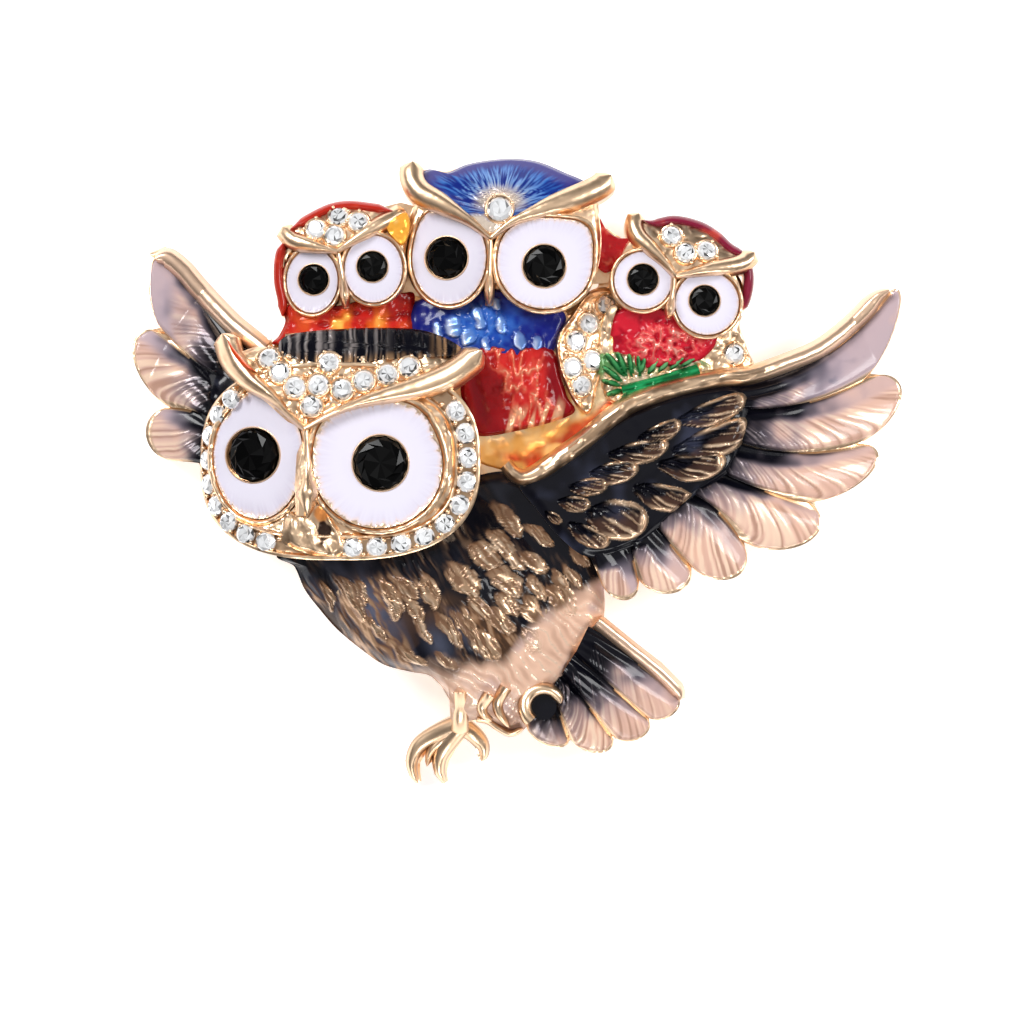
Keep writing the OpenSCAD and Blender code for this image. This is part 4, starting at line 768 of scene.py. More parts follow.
MOTHER_BROW_LEFT = ((-16.7, 3.35), (-18.0, 4.6), (-19.4, 6.0), (-21.2, 7.3), (-22.6, 8.9), (-23.3, 10.9))
MOTHER_BROW_RIGHT = ((-16.7, 3.35), (-14.6, 4.5), (-12.6, 5.3), (-10.3, 5.9), (-7.4, 6.6), (-5.2, 7.5),
                     (-3.8, 8.5), (-2.75, 9.5))
NOSE = ((-16.65, 4.1), (-16.55, 2.2), (-16.5, 0.4), (-16.5, -1.4), (-16.5, -3.7))
FOREHEAD = ((-23.0, 8.9), (-21.6, 9.6), (-20.3, 9.9), (-18.3, 9.55), (-16.9, 8.9), (-15.6, 8.7),
            (-14.8, 9.1), (-13.6, 8.9), (-12.4, 9.2), (-10.4, 9.3), (-8.6, 9.5), (-7, 9.45), (-5.4, 9.1),
            (-4.2, 8.3), (-7.4, 6.6), (-10.3, 6.0), (-12.7, 5.3), (-14.5, 4.5), (-16.7, 3.3),
            (-18.1, 4.6), (-20, 6.3))
NAPE = ((-18.6, 9.1), (-18.7, 10.4), (-17.2, 11.0), (-14, 11.3), (-11, 11.4), (-7.5, 11.2), (-5.0, 10.2),
        (-4.2, 9.2), (-6.6, 8.9), (-10, 8.7), (-13.4, 8.3), (-15.2, 8.1), (-17, 8.4))
BROW_STONES = ((-19.6, 8.95), (-18.68, 7.8), (-17.45, 6.6), (-15.62, 6.78), (-14.78, 8.6), (-16.15, 5.13),
               (-13.72, 6.43), (-12.05, 7.12), (-10.2, 7.62), (-8.5, 8.22))
BROW_BEADS = ((-17.0, 5.6), (-15.1, 5.7), (-14.8, 7.6), (-16.6, 7.6), (-12.9, 7.9), (-11.0, 8.3),
              (-18.0, 9.0), (-20.2, 7.9))


def horn(form, path, grow_left, grow_right, base, seed, rise):
    """A brow that widens into a horn, with a crest and a fine groove along it."""
    def half(t):
        end = taper(t, 18, 0)
        left = 0.28 + grow_left * ease(0.05, 0.75, t)
        right = 0.24 + grow_right * ease(0.1, 0.8, t)
        return left * end + 0.03, right * end + 0.03

    def surface(x, y, t, w):
        high = crest(w)
        groove = bell(w, 0.35, 0.16) * ease(0.1, 0.3, t) * ease(0.97, 0.8, t)
        wear = rough(x, y, 0.5, seed)
        z = base(x, y) + (rise - 0.25 * (1 - t)) * high - 0.10 * groove + 0.025 * wear
        tint = gilt(0.45 * groove + 0.25 * ease(0.0, -0.8, wear), 0.5 * ease(0.86, 1, np.abs(w)))
        return z, tint, np.ones_like(x)

    ridge(form, path, half, surface, rows=110, cols=15)


def crease(form, path, half, base, colour, rise):
    """A thin line of enamel."""
    def surface(x, y, t, w):
        z = base(x, y) + rise + 0.05 * (1 - w ** 2)
        return z, coloured(colour, (DARK_GOLD, 0.3 * np.abs(w))), np.full_like(x, 0.1)

    ridge(form, path, lambda t: half * np.sin(np.pi * np.clip(t, 0.04, 0.96)), surface, rows=40, cols=5)


def forehead_surface(x, y, s):
    lump, tint = hammered(x, y, 21, 0.17, 0.5)
    z = forehead_z(x, y) - 0.12 + lump - 0.5 * ease(0.93, 1.0, s)
    return z, tint, np.ones_like(x)


def forehead():
    brow = Form()
    pad(brow, FOREHEAD, 280, (-15.0, 6.9), 46, forehead_surface)
    seats(brow, BROW_STONES, forehead_z, STONE_D, 0.08, 0.5)
    beads(brow, BROW_BEADS, forehead_z, -0.05, 0.26)
    brow.build("mother_forehead", "gold_casting")
    stone_field("brow_stones", BROW_STONES, forehead_z, lift=0.12, name="mother_brow_stones")


def nape_surface(x, y, s):
    stripe = noise(x + 0.15 * rough(x, y, 1.4, 5), 0.03 * y, 0.17, 31)
    z = forehead_z(x, y) + 0.15 - 0.28 * (1 - stripe) - 0.25 * ease(0.85, 1.0, s) ** 2
    strand = ease(0.40, 0.75, stripe)
    patch = strand * ease(0.15, 0.6, noise(x, 0.4 * y, 1.8, 33))
    grey = patch * ease(8.6, 9.6, y) * ease(-9.5, -13.0, x)
    brown = strand * np.maximum(ease(9.6, 8.7, y), ease(-7.2, -5.2, x))
    tint = coloured(BLACK, (NAPE_GREY, 0.85 * grey), (NAPE_BROWN, 0.85 * brown))
    return z, tint, 0.35 * grey + 0.6 * brown


def nape():
    form = Form()
    pad(form, NAPE, 340, (-11.5, 10.0), 46, nape_surface)
    form.build("mother_nape", "black_enamel", "nape_enamel")


def brows_and_beak():
    horns = Form()
    horn(horns, MOTHER_BROW_LEFT, 0.70, 0.80, mother_z, 41, rise=1.3)
    horn(horns, MOTHER_BROW_RIGHT, 0.92, 0.74, mother_z, 42, rise=1.4)
    crease(horns, ((-22.9, 10.5), (-22.3, 9.4), (-21.4, 8.4), (-20.5, 7.8)), 0.17, mother_z, BROW_LINE, 1.22)
    nose(horns)
    chin(horns)
    horns.build("mother_brows_and_beak", "gold_casting")


def mother_head():
    plate = head_plate()
    halo_prongs(plate, RIGHT_ANGLES)
    halo_prongs(plate, LEFT_ANGLES)
    plate.build("mother_head_plate", "gold_casting")

    stones = {"right": RIGHT_ANGLES, "left": LEFT_ANGLES}
    for side, angles in stones.items():
        places = [head_point(math.radians(a), 0.96) for a in angles]
        stone_field("halo_stones_" + side, places, mother_z, lift=-0.02, name="mother_halo_stones_" + side)

    eye("mother_eye_right", (-10.96, 0.48), (5.1, 4.95), (-10.75, 0.66), 4.3, FACE_TOP, 0, 5,
        corners=((58, 0.09), (140, 0.09)))
    eye("mother_eye_left", LEFT_EYE_AT, (3.62, 4.95), (-20.9, 1.3), 4.25, FACE_TOP, 0.42, 8,
        corners=((92, 0.09), (60, 0.04), (126, -0.05)))
    forehead()
    nape()
    brows_and_beak()


def nose(form):
    def half(t):
        w = 0.30 + 0.12 * ease(0.25, 0.5, t) + 0.50 * bell(t, 0.76, 0.15)
        return w * taper(t, 10, 0) + 0.02

    def surface(x, y, t, w):
        high = crest(w, 2, 0.7)
        bulge = 0.95 * bell(t, 0.74, 0.17)
        z = mother_z(x, y) + 0.1 + (0.55 + bulge) * high + 0.03 * rough(x, y, 0.4, 2)
        # Painted shade down one flank of the beak's bulge; the darker edges on both sides are patina
        side = bell(w, 0.55, 0.25) * ease(0.5, 0.7, t)
        return z, gilt(0.55 * side + 0.5 * ease(0.8, 1, np.abs(w))), np.ones_like(x)

    ridge(form, NOSE, half, surface, rows=90, cols=13)


CHIN = ((-18.6, -4.3), (-17.9, -3.2), (-16.9, -3.2), (-15.9, -2.2), (-15.0, -2.3), (-14.5, -3.6),
        (-13.8, -4.8), (-13.5, -6.0), (-14.0, -6.9), (-15.6, -6.75), (-17.4, -6.2), (-18.5, -5.6))


def chin(form):
    def surface(x, y, s):
        lump = rough(x, y, 0.7, 51)
        fold = np.sin(5.2 * (x + 0.35 * y) + 2.0 * noise(x, y, 0.8, 52))
        ragged = 0.2 * rough(x, y, 0.45, 53)
        hollow = spot(x, y, (-15.2, -4.8), (0.72, 1.05))
        orange = spot(x, y, (-15.35, -3.3), (0.75, 0.85)) + 0.5 * ragged
        z = mother_z(x, y) + 0.42 + 0.10 * lump + 0.07 * fold - 0.55 * hollow - 0.45 * ease(0.75, 1.0, s)
        # The chin's hollow is coloured near black and made less metallic
        tint = coloured(GOLD, (DARK_GOLD, 0.4 * ease(0.1, -0.8, lump) + 0.3 * ease(0, -1, fold)),
                        (ORANGE, ease(0.35, 0.7, orange) * 0.9), (HOLLOW_DARK, ease(0.42, 0.62, hollow + ragged)))
        return z, tint, 1 - np.maximum(0.8 * ease(0.35, 0.8, hollow), 0.35 * ease(0.35, 0.7, orange))

    pad(form, CHIN, 150, (-15.9, -4.6), 34, surface)


# Leaves and feathers

def leaf_field(x, y, leaves):
    """Height share, lengthwise share and crosswise share of the highest leaf at each point.

    Each leaf is root x, root y, tip x, tip y, width and, if it is bent, its bow.
    """
    best = np.zeros_like(x)
    along = np.zeros_like(x)
    across = np.zeros_like(x)
    for x0, y0, x1, y1, width, *bow in leaves:
        length = math.hypot(x1 - x0, y1 - y0)
        dx, dy = (x1 - x0) / length, (y1 - y0) / length
        u = ((x - x0) * dx + (y - y0) * dy) / length
        off = (y - y0) * dx - (x - x0) * dy - 4 * sum(bow) * length * u * (1 - u)
        round_tip = np.sqrt(np.clip(1 - (np.maximum(0, u - 0.62) / 0.38) ** 2, 0, 1))
        half = 0.5 * width * (0.35 + 0.65 * ease(0, 0.45, u)) * round_tip
        v = off / np.maximum(half, 1e-3)
        inside = (u > 0) & (u < 1) & (np.abs(v) < 1)
        dome = crest(v, 3, 0.6) * np.clip((1 - u) / 0.08, 0, 1) ** 0.5
        high = np.where(inside, dome * ease(0, 0.3, u) ** 0.7 * (0.45 + 0.55 * u), 0)
        take = high > best
        best, along, across = np.where(take, high, best), np.where(take, u, along), np.where(take, v, across)
    return best, along, across


WING = ((0.3, -0.6), 31.0, (
    ((0.577, 0.248), (0.958, 0.489), -0.112), ((0.577, 0.181), (0.897, 0.265), -0.069),
    ((0.558, 0.097), (0.874, 0.094), -0.081), ((0.513, 0.019), (0.745, -0.058), -0.034),
    ((0.429, -0.032), (0.565, -0.155), 0.090), ((0.345, -0.110), (0.432, -0.216), -0.028),
    ((0.281, -0.161), (0.300, -0.252), 0.0), ((0.177, -0.194), (0.203, -0.258), 0.0)),
    (0.07, 0.112, 0.10, 0.10, 0.085, 0.065, 0.058))
LEFT_WING = ((-22.2, 6.0), 19.0, (
    ((-0.032, 0.242), (-0.337, 0.589), -0.018), ((-0.084, 0.074), (-0.332, 0.279), 0.024),
    ((-0.116, -0.095), (-0.295, -0.042), -0.074), ((-0.137, -0.284), (-0.284, -0.268), -0.018)),
    (0.085, 0.1615, 0.115))
TAIL = ((4.0, -15.0), 11.0, (
    ((0.218, 0.191), (0.800, -0.255), 0.022), ((0.109, 0.0), (0.582, -0.418), -0.001),
    ((0.0, -0.145), (0.327, -0.555), 0.011), ((-0.100, -0.236), (0.018, -0.573), -0.001),
    ((-0.236, -0.236), (-0.300, -0.473), -0.045)),
    (0.105, 0.125, 0.14, 0.115))


def fan_line(fan, k, u):
    (ax, ay), (bx, by), bow = fan[2][k]
    lift = 4 * bow * u * (1 - u)
    x = ax + (bx - ax) * u + (ay - by) * lift
    y = ay + (by - ay) * u + (bx - ax) * lift
    return np.stack([fan[0][0] + x * fan[1], fan[0][1] + y * fan[1]], axis=-1)


def fan_way(fan, k):
    d = fan_line(fan, k, np.array(1.0)) - fan_line(fan, k, np.array(0.8))
    return d / np.hypot(*d)


def fan_point(fan, k, u, v):
    way = fan_way(fan, k) + fan_way(fan, k + 1)
    way = way / np.hypot(*way) * fan[3][k] * fan[1]
    reach = np.sqrt(np.clip(1 - (2 * v - 1) ** 2, 0, 1)) * np.clip(u, 0, 1) ** 3
    p = mix(fan_line(fan, k, u), fan_line(fan, k + 1, u), v[..., None])
    return p + way * reach[..., None]


BARB_SLANT = 1.25
FEATHER_POINTS = 42      # points across a feather, without its lips


def feather_z(x, y, u, v):
    hump = 0.15 + 0.85 * np.sin(np.radians(100) * np.clip(v, 0, 1))
    hump = np.where(v > 0.9, hump - 0.30 * ease(0.9, 1.0, v), hump)
    return back_z(x, y) + PLATE + 0.7 * hump * (1 - 0.4 * np.clip(u, 0, 1) ** 4)


def feather(name, fan, k, look):
    """look gives the lift over the cast feather, the tint and the share of bare metal."""
    length = fan[1] * math.dist(*fan[2][k][:2])
    side, far = fan_point(fan, k, np.array((0.63, 0.63)), np.array((0.0, 1.0)))
    width = math.dist(side, far)
    # Each cell is as long as a barb's run across it, so that the barbs lie along the cells' diagonals
    lip = np.array((0.0, 0.006, 0.016))
    v = np.concatenate([lip, np.linspace(0.03, 0.97, FEATHER_POINTS), 1 - lip[::-1]])
    step = BARB_SLANT * (v[4] - v[3]) * width / length
    rows = int(1.09 / step)
    u = np.concatenate([0.97 - step * np.arange(rows, 0, -1), np.linspace(0.97, 1, 8)])
    uu, vv = np.meshgrid(u, v, indexing="ij")
    vv[:, 0] = -0.06 * ease(0.9, 0.7, u)
    xy = fan_point(fan, k, uu, vv)
    x, y = xy[..., 0], xy[..., 1]
    lift, tint, metal = look(x, y, uu, vv, length, width)
    grid = np.dstack([x, y, feather_z(x, y, uu, vv) + lift])
    middle = FEATHER_POINTS // 2
    along, across = xy[-10, middle] - xy[10, middle], xy[rows // 2, -1] - xy[rows // 2, 0]
    halve = 1
    if along[0] * across[1] - along[1] * across[0] < 0:
        grid, tint, metal, halve = grid[:, ::-1], tint[:, ::-1], metal[:, ::-1], -1
    form = Form()
    form.shell(grid, tint, metal, halve=halve)
    form.build(name, "blush_enamel")


def feathers(kind, fan, looks):
    for k, look in enumerate(looks):
        feather("%s_%d" % (kind, k + 1), fan, k, look)


def plume(shaft, fade, seed, lilac=0.35, vane_start=0.0, vane_end=1.3, strength=1.0, dark_foot=0.5):
    """One flight feather's look: a smooth channel, a vane of slanting barbs and a thin rim of metal.

    shaft is where the vane starts across the feather, fade is where the black of its foot ends along it.
    """
    def look(x, y, u, v, length, width):
        split = shaft + 0.10 * np.sin(3 * u + seed) - 0.10 * ease(0.6, 1.0, u)
        vane = ease(split - 0.11, split + 0.11, v) * ease(vane_start - 0.08, vane_start + 0.06, u)
        vane = vane * (1 - ease(vane_end - 0.1, vane_end + 0.1, u))
        phase = u * length - BARB_SLANT * (v - split) * width + 0.06 * rough(x, y, 1.3, seed)
        barb = 0.88 * noise(phase, 0.3 * v, 0.2, seed) + 0.12 * noise(phase, 0.3 * v, 0.46, seed + 2)
        barb = (barb - 0.5) * vane * strength
        to_edge = np.minimum((1 - v) * width, np.where(u > 0.5, v * width, 9))
        to_tip = (1 - u) * length
        rim = np.maximum(ease(0.20, 0.10, to_edge) * ease(0.35, 0.6, u), ease(0.16, 0.08, to_tip))
        lift = 0.20 + 0.20 * vane + 0.065 * barb + 0.10 * rim
        lift = lift - 0.22 * ease(0.35, 0.0, to_edge) - 0.15 * ease(0.3, 0, to_tip)
        cloud = rough(x, y, 1.6, seed + 11)
        smoke = ease(fade + 0.34, fade - 0.14, u + 0.16 * cloud + 0.62 * vane * dark_foot)
        lift = lift + 0.07 * smoke * np.sin(15 * v + 5 * u + seed) * ease(0.0, 0.15, v)
        seam = ease(0.13, 0.02, v + 0.05 * cloud) * ease(1.0, 0.55, u)
        foot = ease(0.93, 1.0, v) * ease(0.75, 0.45, u)
        smoke_and_sheen = 0.65 * ease(0.2, 0.9, rough(x, y, 0.9, seed + 17)) * ease(1.0, 0.4, u) * (1 - vane)
        dusk = 0.75 * ease(fade + 0.5, fade - 0.05, u + 0.2 * cloud + 0.5 * vane * dark_foot)
        tint = coloured(mix(np.array(PEACH), np.array(LILAC), lilac),
                        (PEACH, 0.75 * vane + 0.3 * ease(0.2, 0.8, cloud)),
                        (BARB_LIGHT, 0.8 * ease(0.0, 0.25, barb)),
                        (BARB_SHADE, 0.75 * ease(0.0, -0.25, barb)),
                        (SMOKE, smoke_and_sheen), (SLATE, dusk),
                        (BLACK, np.clip(smoke ** 0.8 * (1 - 0.45 * ease(0.1, 0.4, barb)), 0, 1)),
                        (BLACK, 0.92 * np.maximum(seam, foot)), (GOLD, rim))
        worn = 0.18 * vane * ease(0.0, 0.34, barb) + 0.25 * vane * ease(0.1, 0.5, smoke)
        metal = np.clip(np.maximum(rim, worn), 0, 1)
        return lift, tint, metal
    return look


WING_LOOKS = (
    plume(0.62, 0.30, 3, lilac=1.0, vane_start=0.06, vane_end=0.42),
    plume(0.34, 0.42, 5, lilac=0.55, vane_start=0.03),
    plume(0.32, 0.38, 7, lilac=0.5, vane_start=0.05),
    plume(0.30, 0.42, 9, lilac=0.5, vane_start=0.05),
    plume(0.28, 0.40, 11, lilac=0.4, vane_start=0.05),
    plume(0.45, 0.46, 13, lilac=0.6, vane_start=0.25, dark_foot=0.4),
    plume(0.50, 0.45, 15, lilac=0.85, vane_start=0.55, dark_foot=0.3))
LEFT_LOOKS = (
    plume(0.30, 0.46, 21, lilac=1.0, vane_start=0.05, vane_end=0.75, strength=0.8, dark_foot=0.3),
    plume(0.30, 0.52, 23, lilac=1.0, vane_start=0.1, strength=0.9, dark_foot=0.3),
    plume(0.26, 0.56, 25, lilac=1.0, vane_start=-0.1, strength=0.9, dark_foot=0.3))
TAIL_LOOKS = (
    plume(0.35, 0.44, 31, lilac=0.6, strength=0.45, dark_foot=0.2),
    plume(0.35, 0.42, 33, lilac=0.55, strength=0.7, dark_foot=0.15),
    plume(0.20, 0.42, 35, lilac=0.2, strength=1.3, dark_foot=0.15),
    plume(0.15, 0.66, 37, lilac=0.5, strength=0.6, dark_foot=0.05))


COVERTS = ((12.4, 3.9, 18.3, 6.0, 1.9, -0.05), (12.0, 1.5, 18.6, 3.9, 2.5, -0.07),
           (10.9, 0.6, 16.6, 0.9, 2.2, -0.08), (9.0, -1.1, 13.9, -2.2, 2.1, -0.08),
           (5.2, -3.3, 10.4, -4.0, 3.2, -0.03), (3.9, -4.0, 7.3, -5.8, 1.5, -0.05),
           (9.4, 2.5, 13.0, 3.9, 1.5, -0.06), (7.0, 1.3, 12.0, 2.2, 1.8, -0.06),
           (5.6, -0.2, 9.6, 0.4, 1.8, -0.06), (4.0, -1.3, 7.2, -0.9, 1.4, -0.05),
           (3.1, -2.3, 5.8, -2.6, 1.25, -0.05), (1.8, -3.2, 3.6, -4.0, 0.8))
SHOULDER = ((0.2, -1.2), (1.5, -2.9), (3.4, -5.2), (5.8, -6.8), (9.2, -5.9), (11.3, -4.4), (14.2, -1.8),
            (16.9, 0.0), (18.5, 2.4), (19.3, 5.0), (18.8, 7.0), (16.4, 6.9), (13.0, 6.2), (10.0, 5.1),
            (7.7, 4.0), (3.4, 1.0), (1.0, -0.4))
WING_EDGE = ((-0.9, 0.6), (-0.3, -0.1), (0.5, -0.45), (1.6, -0.1), (3.4, 1.1), (5.6, 2.7), (7.7, 4.5),
             (9.8, 5.7), (13.1, 6.8), (16.3, 7.5), (18.6, 7.75), (21.6, 8.8), (24.0, 9.8), (25.9, 11.1),
             (27.7, 12.7), (29.0, 14.1), (30.0, 14.7))


def covert_surface(x, y, s):
    lobe, u, v = leaf_field(x, y, COVERTS)
    lobe = lobe * ease(0.99, 0.90, s)
    on = ease(0.05, 0.14, lobe)
    barb = noise(u * 3.2 + v * 1.6 + 0.2 * rough(x, y, 0.9, 61), v * 0.4, 0.23, 62)
    rim = np.maximum(ease(0.62, 0.90, np.abs(v)) * ease(0.25, 0.55, u), ease(0.84, 0.95, u))
    strand = ease(0.48, 0.74, barb)
    # Black enamel pools over the root and the upper half of each covert and leaves its tip and low edge bare
    pool = ease(0.45, -0.10, u * 1.1 - 0.66 * v - 0.42 + 0.30 * rough(x, y, 0.8, 63))
    bare = on * np.clip(0.95 * rim + 0.85 * strand * ease(1.0, 0.6, pool), 0, 1)
    bare = bare * (1 - 0.9 * pool * (1 - rim))
    fold = (1 - strand) * (1 - rim)
    z = back_z(x, y) + PLATE + 1.45 - 0.3 * s + 0.13 * rough(x, y, 1.5, 65) + 0.80 * lobe * (0.8 - 0.2 * v)
    z = z - 0.20 * on * fold - 0.16 * on * ease(0.0, 0.5, v) * ease(0.9, 0.6, u) - 0.3 * ease(0.9, 1.0, s)
    z = z - 1.3 * ease(0.78, 1.0, s) * ease(16.5, 18.8, x)
    sheen = ease(0.2, 1.0, rough(x, y, 2.0, 67)) * (1 - bare)
    tint = coloured(BLACK, (BLACK_SHEEN, sheen), (COVERT_BROWN, 0.7 * on * (1 - pool)), (COVERT_GOLD, bare),
                    (COVERT_LIGHT, 0.6 * bare * ease(0.6, 0.9, barb)))
    return z, tint, bare


def right_wing():
    feathers("primary", WING, WING_LOOKS)
    form = Form()
    pad(form, SHOULDER, 400, (10.4, 0.2), 86, covert_surface)
    form.build("wing_coverts", "black_enamel", "wing_enamel")

    edge = Form()

    def half(t):
        return (0.56 + 0.28 * ease(0.0, 0.12, t) - 0.08 * t) * taper(t, 16, 0.05)

    def surface(x, y, t, w):
        high = crest(w, 2.6, 0.8)
        line = noise(w * 1.1, t * 9, 0.34, 71)
        plain = ease(0.60, 0.72, t)
        z = back_z(x, y) + 2.3 - 0.7 * t * t + 1.1 * high - 0.11 * ease(0.6, 0.25, line) * (1 - plain)
        z = z + 0.03 * rough(x, y, 0.5, 72)
        # The grooves along the edge are darker, and its lower flank carries painted shade
        tint = coloured(GOLD, (DARK_GOLD, 0.65 * ease(0.5, 0.2, line) * (1 - plain)),
                        (DARK_GOLD, 0.6 * ease(-0.70, -0.95, w)), (ROSE_GOLD, 0.6 * plain))
        return z, tint, 1 - 0.25 * plain

    ridge(edge, WING_EDGE, half, surface, rows=260, cols=19)
    edge.build("wing_edge", "gold_casting")


LEFT_BAND = ((-20.2, 9.8), (-21.3, 10.7), (-22.8, 11.9), (-24.4, 13.5), (-25.8, 15.0), (-27.0, 16.4),
             (-28.2, 17.3), (-29.2, 17.2))
LEFT_ROOT = ((-19.9, 10.0), (-22.6, 10.8), (-24.5, 9.0), (-25.4, 6.5), (-25.6, 3.0), (-25.2, 0.0),
             (-23.0, -1.4), (-20.5, -1.0), (-19.0, 4.0))
TAIL_BAND = ((6.4, -11.9), (8.8, -13.85), (11.3, -15.9), (12.9, -17.55), (13.05, -18.3))


def smooth_band(form, path, half_width, base, rise):
    """A plain rounded edge of metal along a wing or the tail."""
    def surface(x, y, t, w):
        high = crest(w, 2.4, 0.8)
        wear = rough(x, y, 0.6, 73)
        tint = coloured(BAND_GOLD, (DARK_GOLD, 0.5 * ease(0.8, 1.0, np.abs(w))))
        return base(x, y, t) + rise * high + 0.02 * wear, tint, np.full_like(x, 0.85)

    ridge(form, path, lambda t: half_width * taper(t, 10, 0.05), surface, rows=120, cols=15)


def left_wing():
    feathers("left_primary", LEFT_WING, LEFT_LOOKS)
    form = Form()

    def root(x, y, s):
        stripe = rough(x, y, 1.2, 75)
        z = back_z(x, y) + PLATE + 0.95 - 0.6 * ease(0.6, 1, s) + 0.15 * stripe
        return z, coloured(BLACK, (SMOKE, 0.5 * ease(0.2, 0.9, stripe))), np.zeros_like(x)

    pad(form, LEFT_ROOT, 160, (-22.2, 5.0), 24, root)
    smooth_band(form, LEFT_BAND, 0.86, lambda x, y, t: back_z(x, y) + 2.1 - 0.5 * t, 1.0)
    form.build("left_wing_edge", "gold_casting")


def tail():
    feathers("tail_feather", TAIL, TAIL_LOOKS)
    form = Form()
    smooth_band(form, TAIL_BAND, 0.62, lambda x, y, t: back_z(x, y) + 1.7, 0.8)
    form.build("tail_edge", "gold_casting")


# The mother's body

BODY_AT = (-5.5, -9.4)
BODY = ((-18.9, -6.3), (-17.8, -7.6), (-17.0, -9.4), (-15.8, -11.0), (-14.4, -12.6), (-12.7, -14.0),
        (-10.7, -15.35), (-8.6, -15.9), (-7.0, -16.2), (-6.0, -17.1), (-5.35, -18.3), (-5.25, -19.8),
        (-3.8, -19.9), (-2.6, -19.7), (-1.4, -20.6), (-0.5, -21.1), (0.6, -20.6), (2.2, -17.9),
        (3.8, -16.8), (5.8, -14.2), (6.9, -11.9), (6.85, -8.6), (5.9, -5.4), (2.8, -1.6), (-0.4, 0.0),
        (-4.2, -0.6), (-10.6, -3.0))
TUFTS = ((-14.8, -7.9, -12.3, -12.0, 1.3, 0.08), (-15.9, -8.3, -14.7, -11.2, 0.9, 0.08),
         (-13.0, -8.4, -11.9, -10.8, 0.8, 0.05), (-11.1, -8.2, -9.4, -11.8, 1.3, 0.07),
         (-9.8, -8.0, -7.8, -10.0, 1.2), (-7.9, -7.7, -6.3, -11.0, 1.5, 0.06),
         (-6.0, -7.1, -3.0, -10.0, 2.1, 0.06), (-3.9, -5.5, -1.4, -7.4, 1.7),
         (-2.6, -4.2, -0.4, -6.6, 1.3), (-2.2, -2.3, 0.3, -5.3, 1.5, 0.05),
         (0.2, -4.1, 2.8, -5.9, 1.2, 0.06), (-2.5, -7.5, 0.3, -9.7, 1.8, 0.05),
         (-1.4, -5.9, 0.5, -7.8, 1.1), (0.0, -6.1, 2.3, -8.0, 1.2), (0.8, -7.8, 2.2, -10.4, 1.1),
         (1.9, -9.0, 4.8, -11.4, 1.9, 0.06), (-0.3, -10.3, 2.2, -12.0, 1.1),
         (-2.5, -10.6, -0.3, -12.8, 1.5), (-4.2, -9.6, -2.1, -11.6, 1.4), (-5.4, -10.9, -3.0, -13.1, 1.1),
         (-6.6, -10.9, -4.2, -13.9, 1.2), (-8.3, -11.2, -6.7, -13.6, 0.9),
         (-9.8, -13.7, -7.3, -15.4, 0.9), (-6.7, -14.2, -4.7, -15.6, 0.9),
         (-12.0, -11.4, -10.4, -13.7, 0.8), (-9.1, -9.4, -7.4, -11.9, 1.1),
         (-3.9, -12.3, -1.2, -14.8, 1.7), (0.2, -12.2, 1.8, -14.1, 1.2), (4.0, -5.2, 5.6, -7.6, 0.9),
         (3.4, -7.2, 5.2, -9.2, 0.9), (-1.7, -9.2, -0.2, -11.3, 1.4), (0.5, -9.6, 1.8, -11.8, 1.3),
         (2.6, -7.6, 3.9, -9.4, 1.0))


def body_z(x, y):
    dx, dy = x - BODY_AT[0], y - BODY_AT[1]
    along, across = 0.64 * dx - 0.77 * dy, 0.77 * dx + 0.64 * dy
    return np.maximum(back_z(x, y) + 1.3, 9.5 - 0.028 * along ** 2 - 0.06 * across ** 2)


# The line under which the body turns smooth and pale
PALE_X = (-9.5, -7.0, -1.1, 0.6, 1.8, 4.2, 6.5)
PALE_Y = (-16.8, -15.7, -15.0, -13.8, -12.1, -10.4, -9.0)


def body_down(x, y):
    """The smooth pale part: its share, the waves in it and their crests."""
    pale = ease(0.9, -0.9, y - np.interp(x, PALE_X, PALE_Y) + 1.0 * rough(x, y, 1.6, 81))
    wave = np.abs(np.sin(3.0 * (0.8 * x + y) + 3.6 * rough(x, y, 2.1, 93)))
    return pale, wave, ease(0.34, 0.0, wave) * pale


def body_pool(x, y):
    """Black pools under the head, at the wing's root and low on the left."""
    pool = spot(x, y, (-6.0, -13.6), (2.4, 1.5)) + ease(-2.5, 1.5, x) * ease(-7.0, -4.0, y)
    pool = pool + ease(-9.3, -7.6, y + 0.03 * (x + 12) ** 2)
    return np.clip(pool + 0.7 * ease(0.1, 0.7, rough(x, y, 1.5, 98)), 0, 1)


def body_sheen(x, across, down):
    """Painted sheen: soft grey patches on the black that stand for reflections of the light."""
    # Two soft spots of painted reflection
    smoke_and_sheen = spot(across, down, (-15.3, 3.6), (1.5, 2.6)) + 0.6 * spot(across, down, (-12.0, 8.6), (0.9, 1.6))
    cloud = rough(across * 0.8, down * 0.3, 1.3, 95)
    return np.clip(0.55 * ease(0.1, 0.9, cloud) * ease(2, -6, x) + smoke_and_sheen, 0, 1)


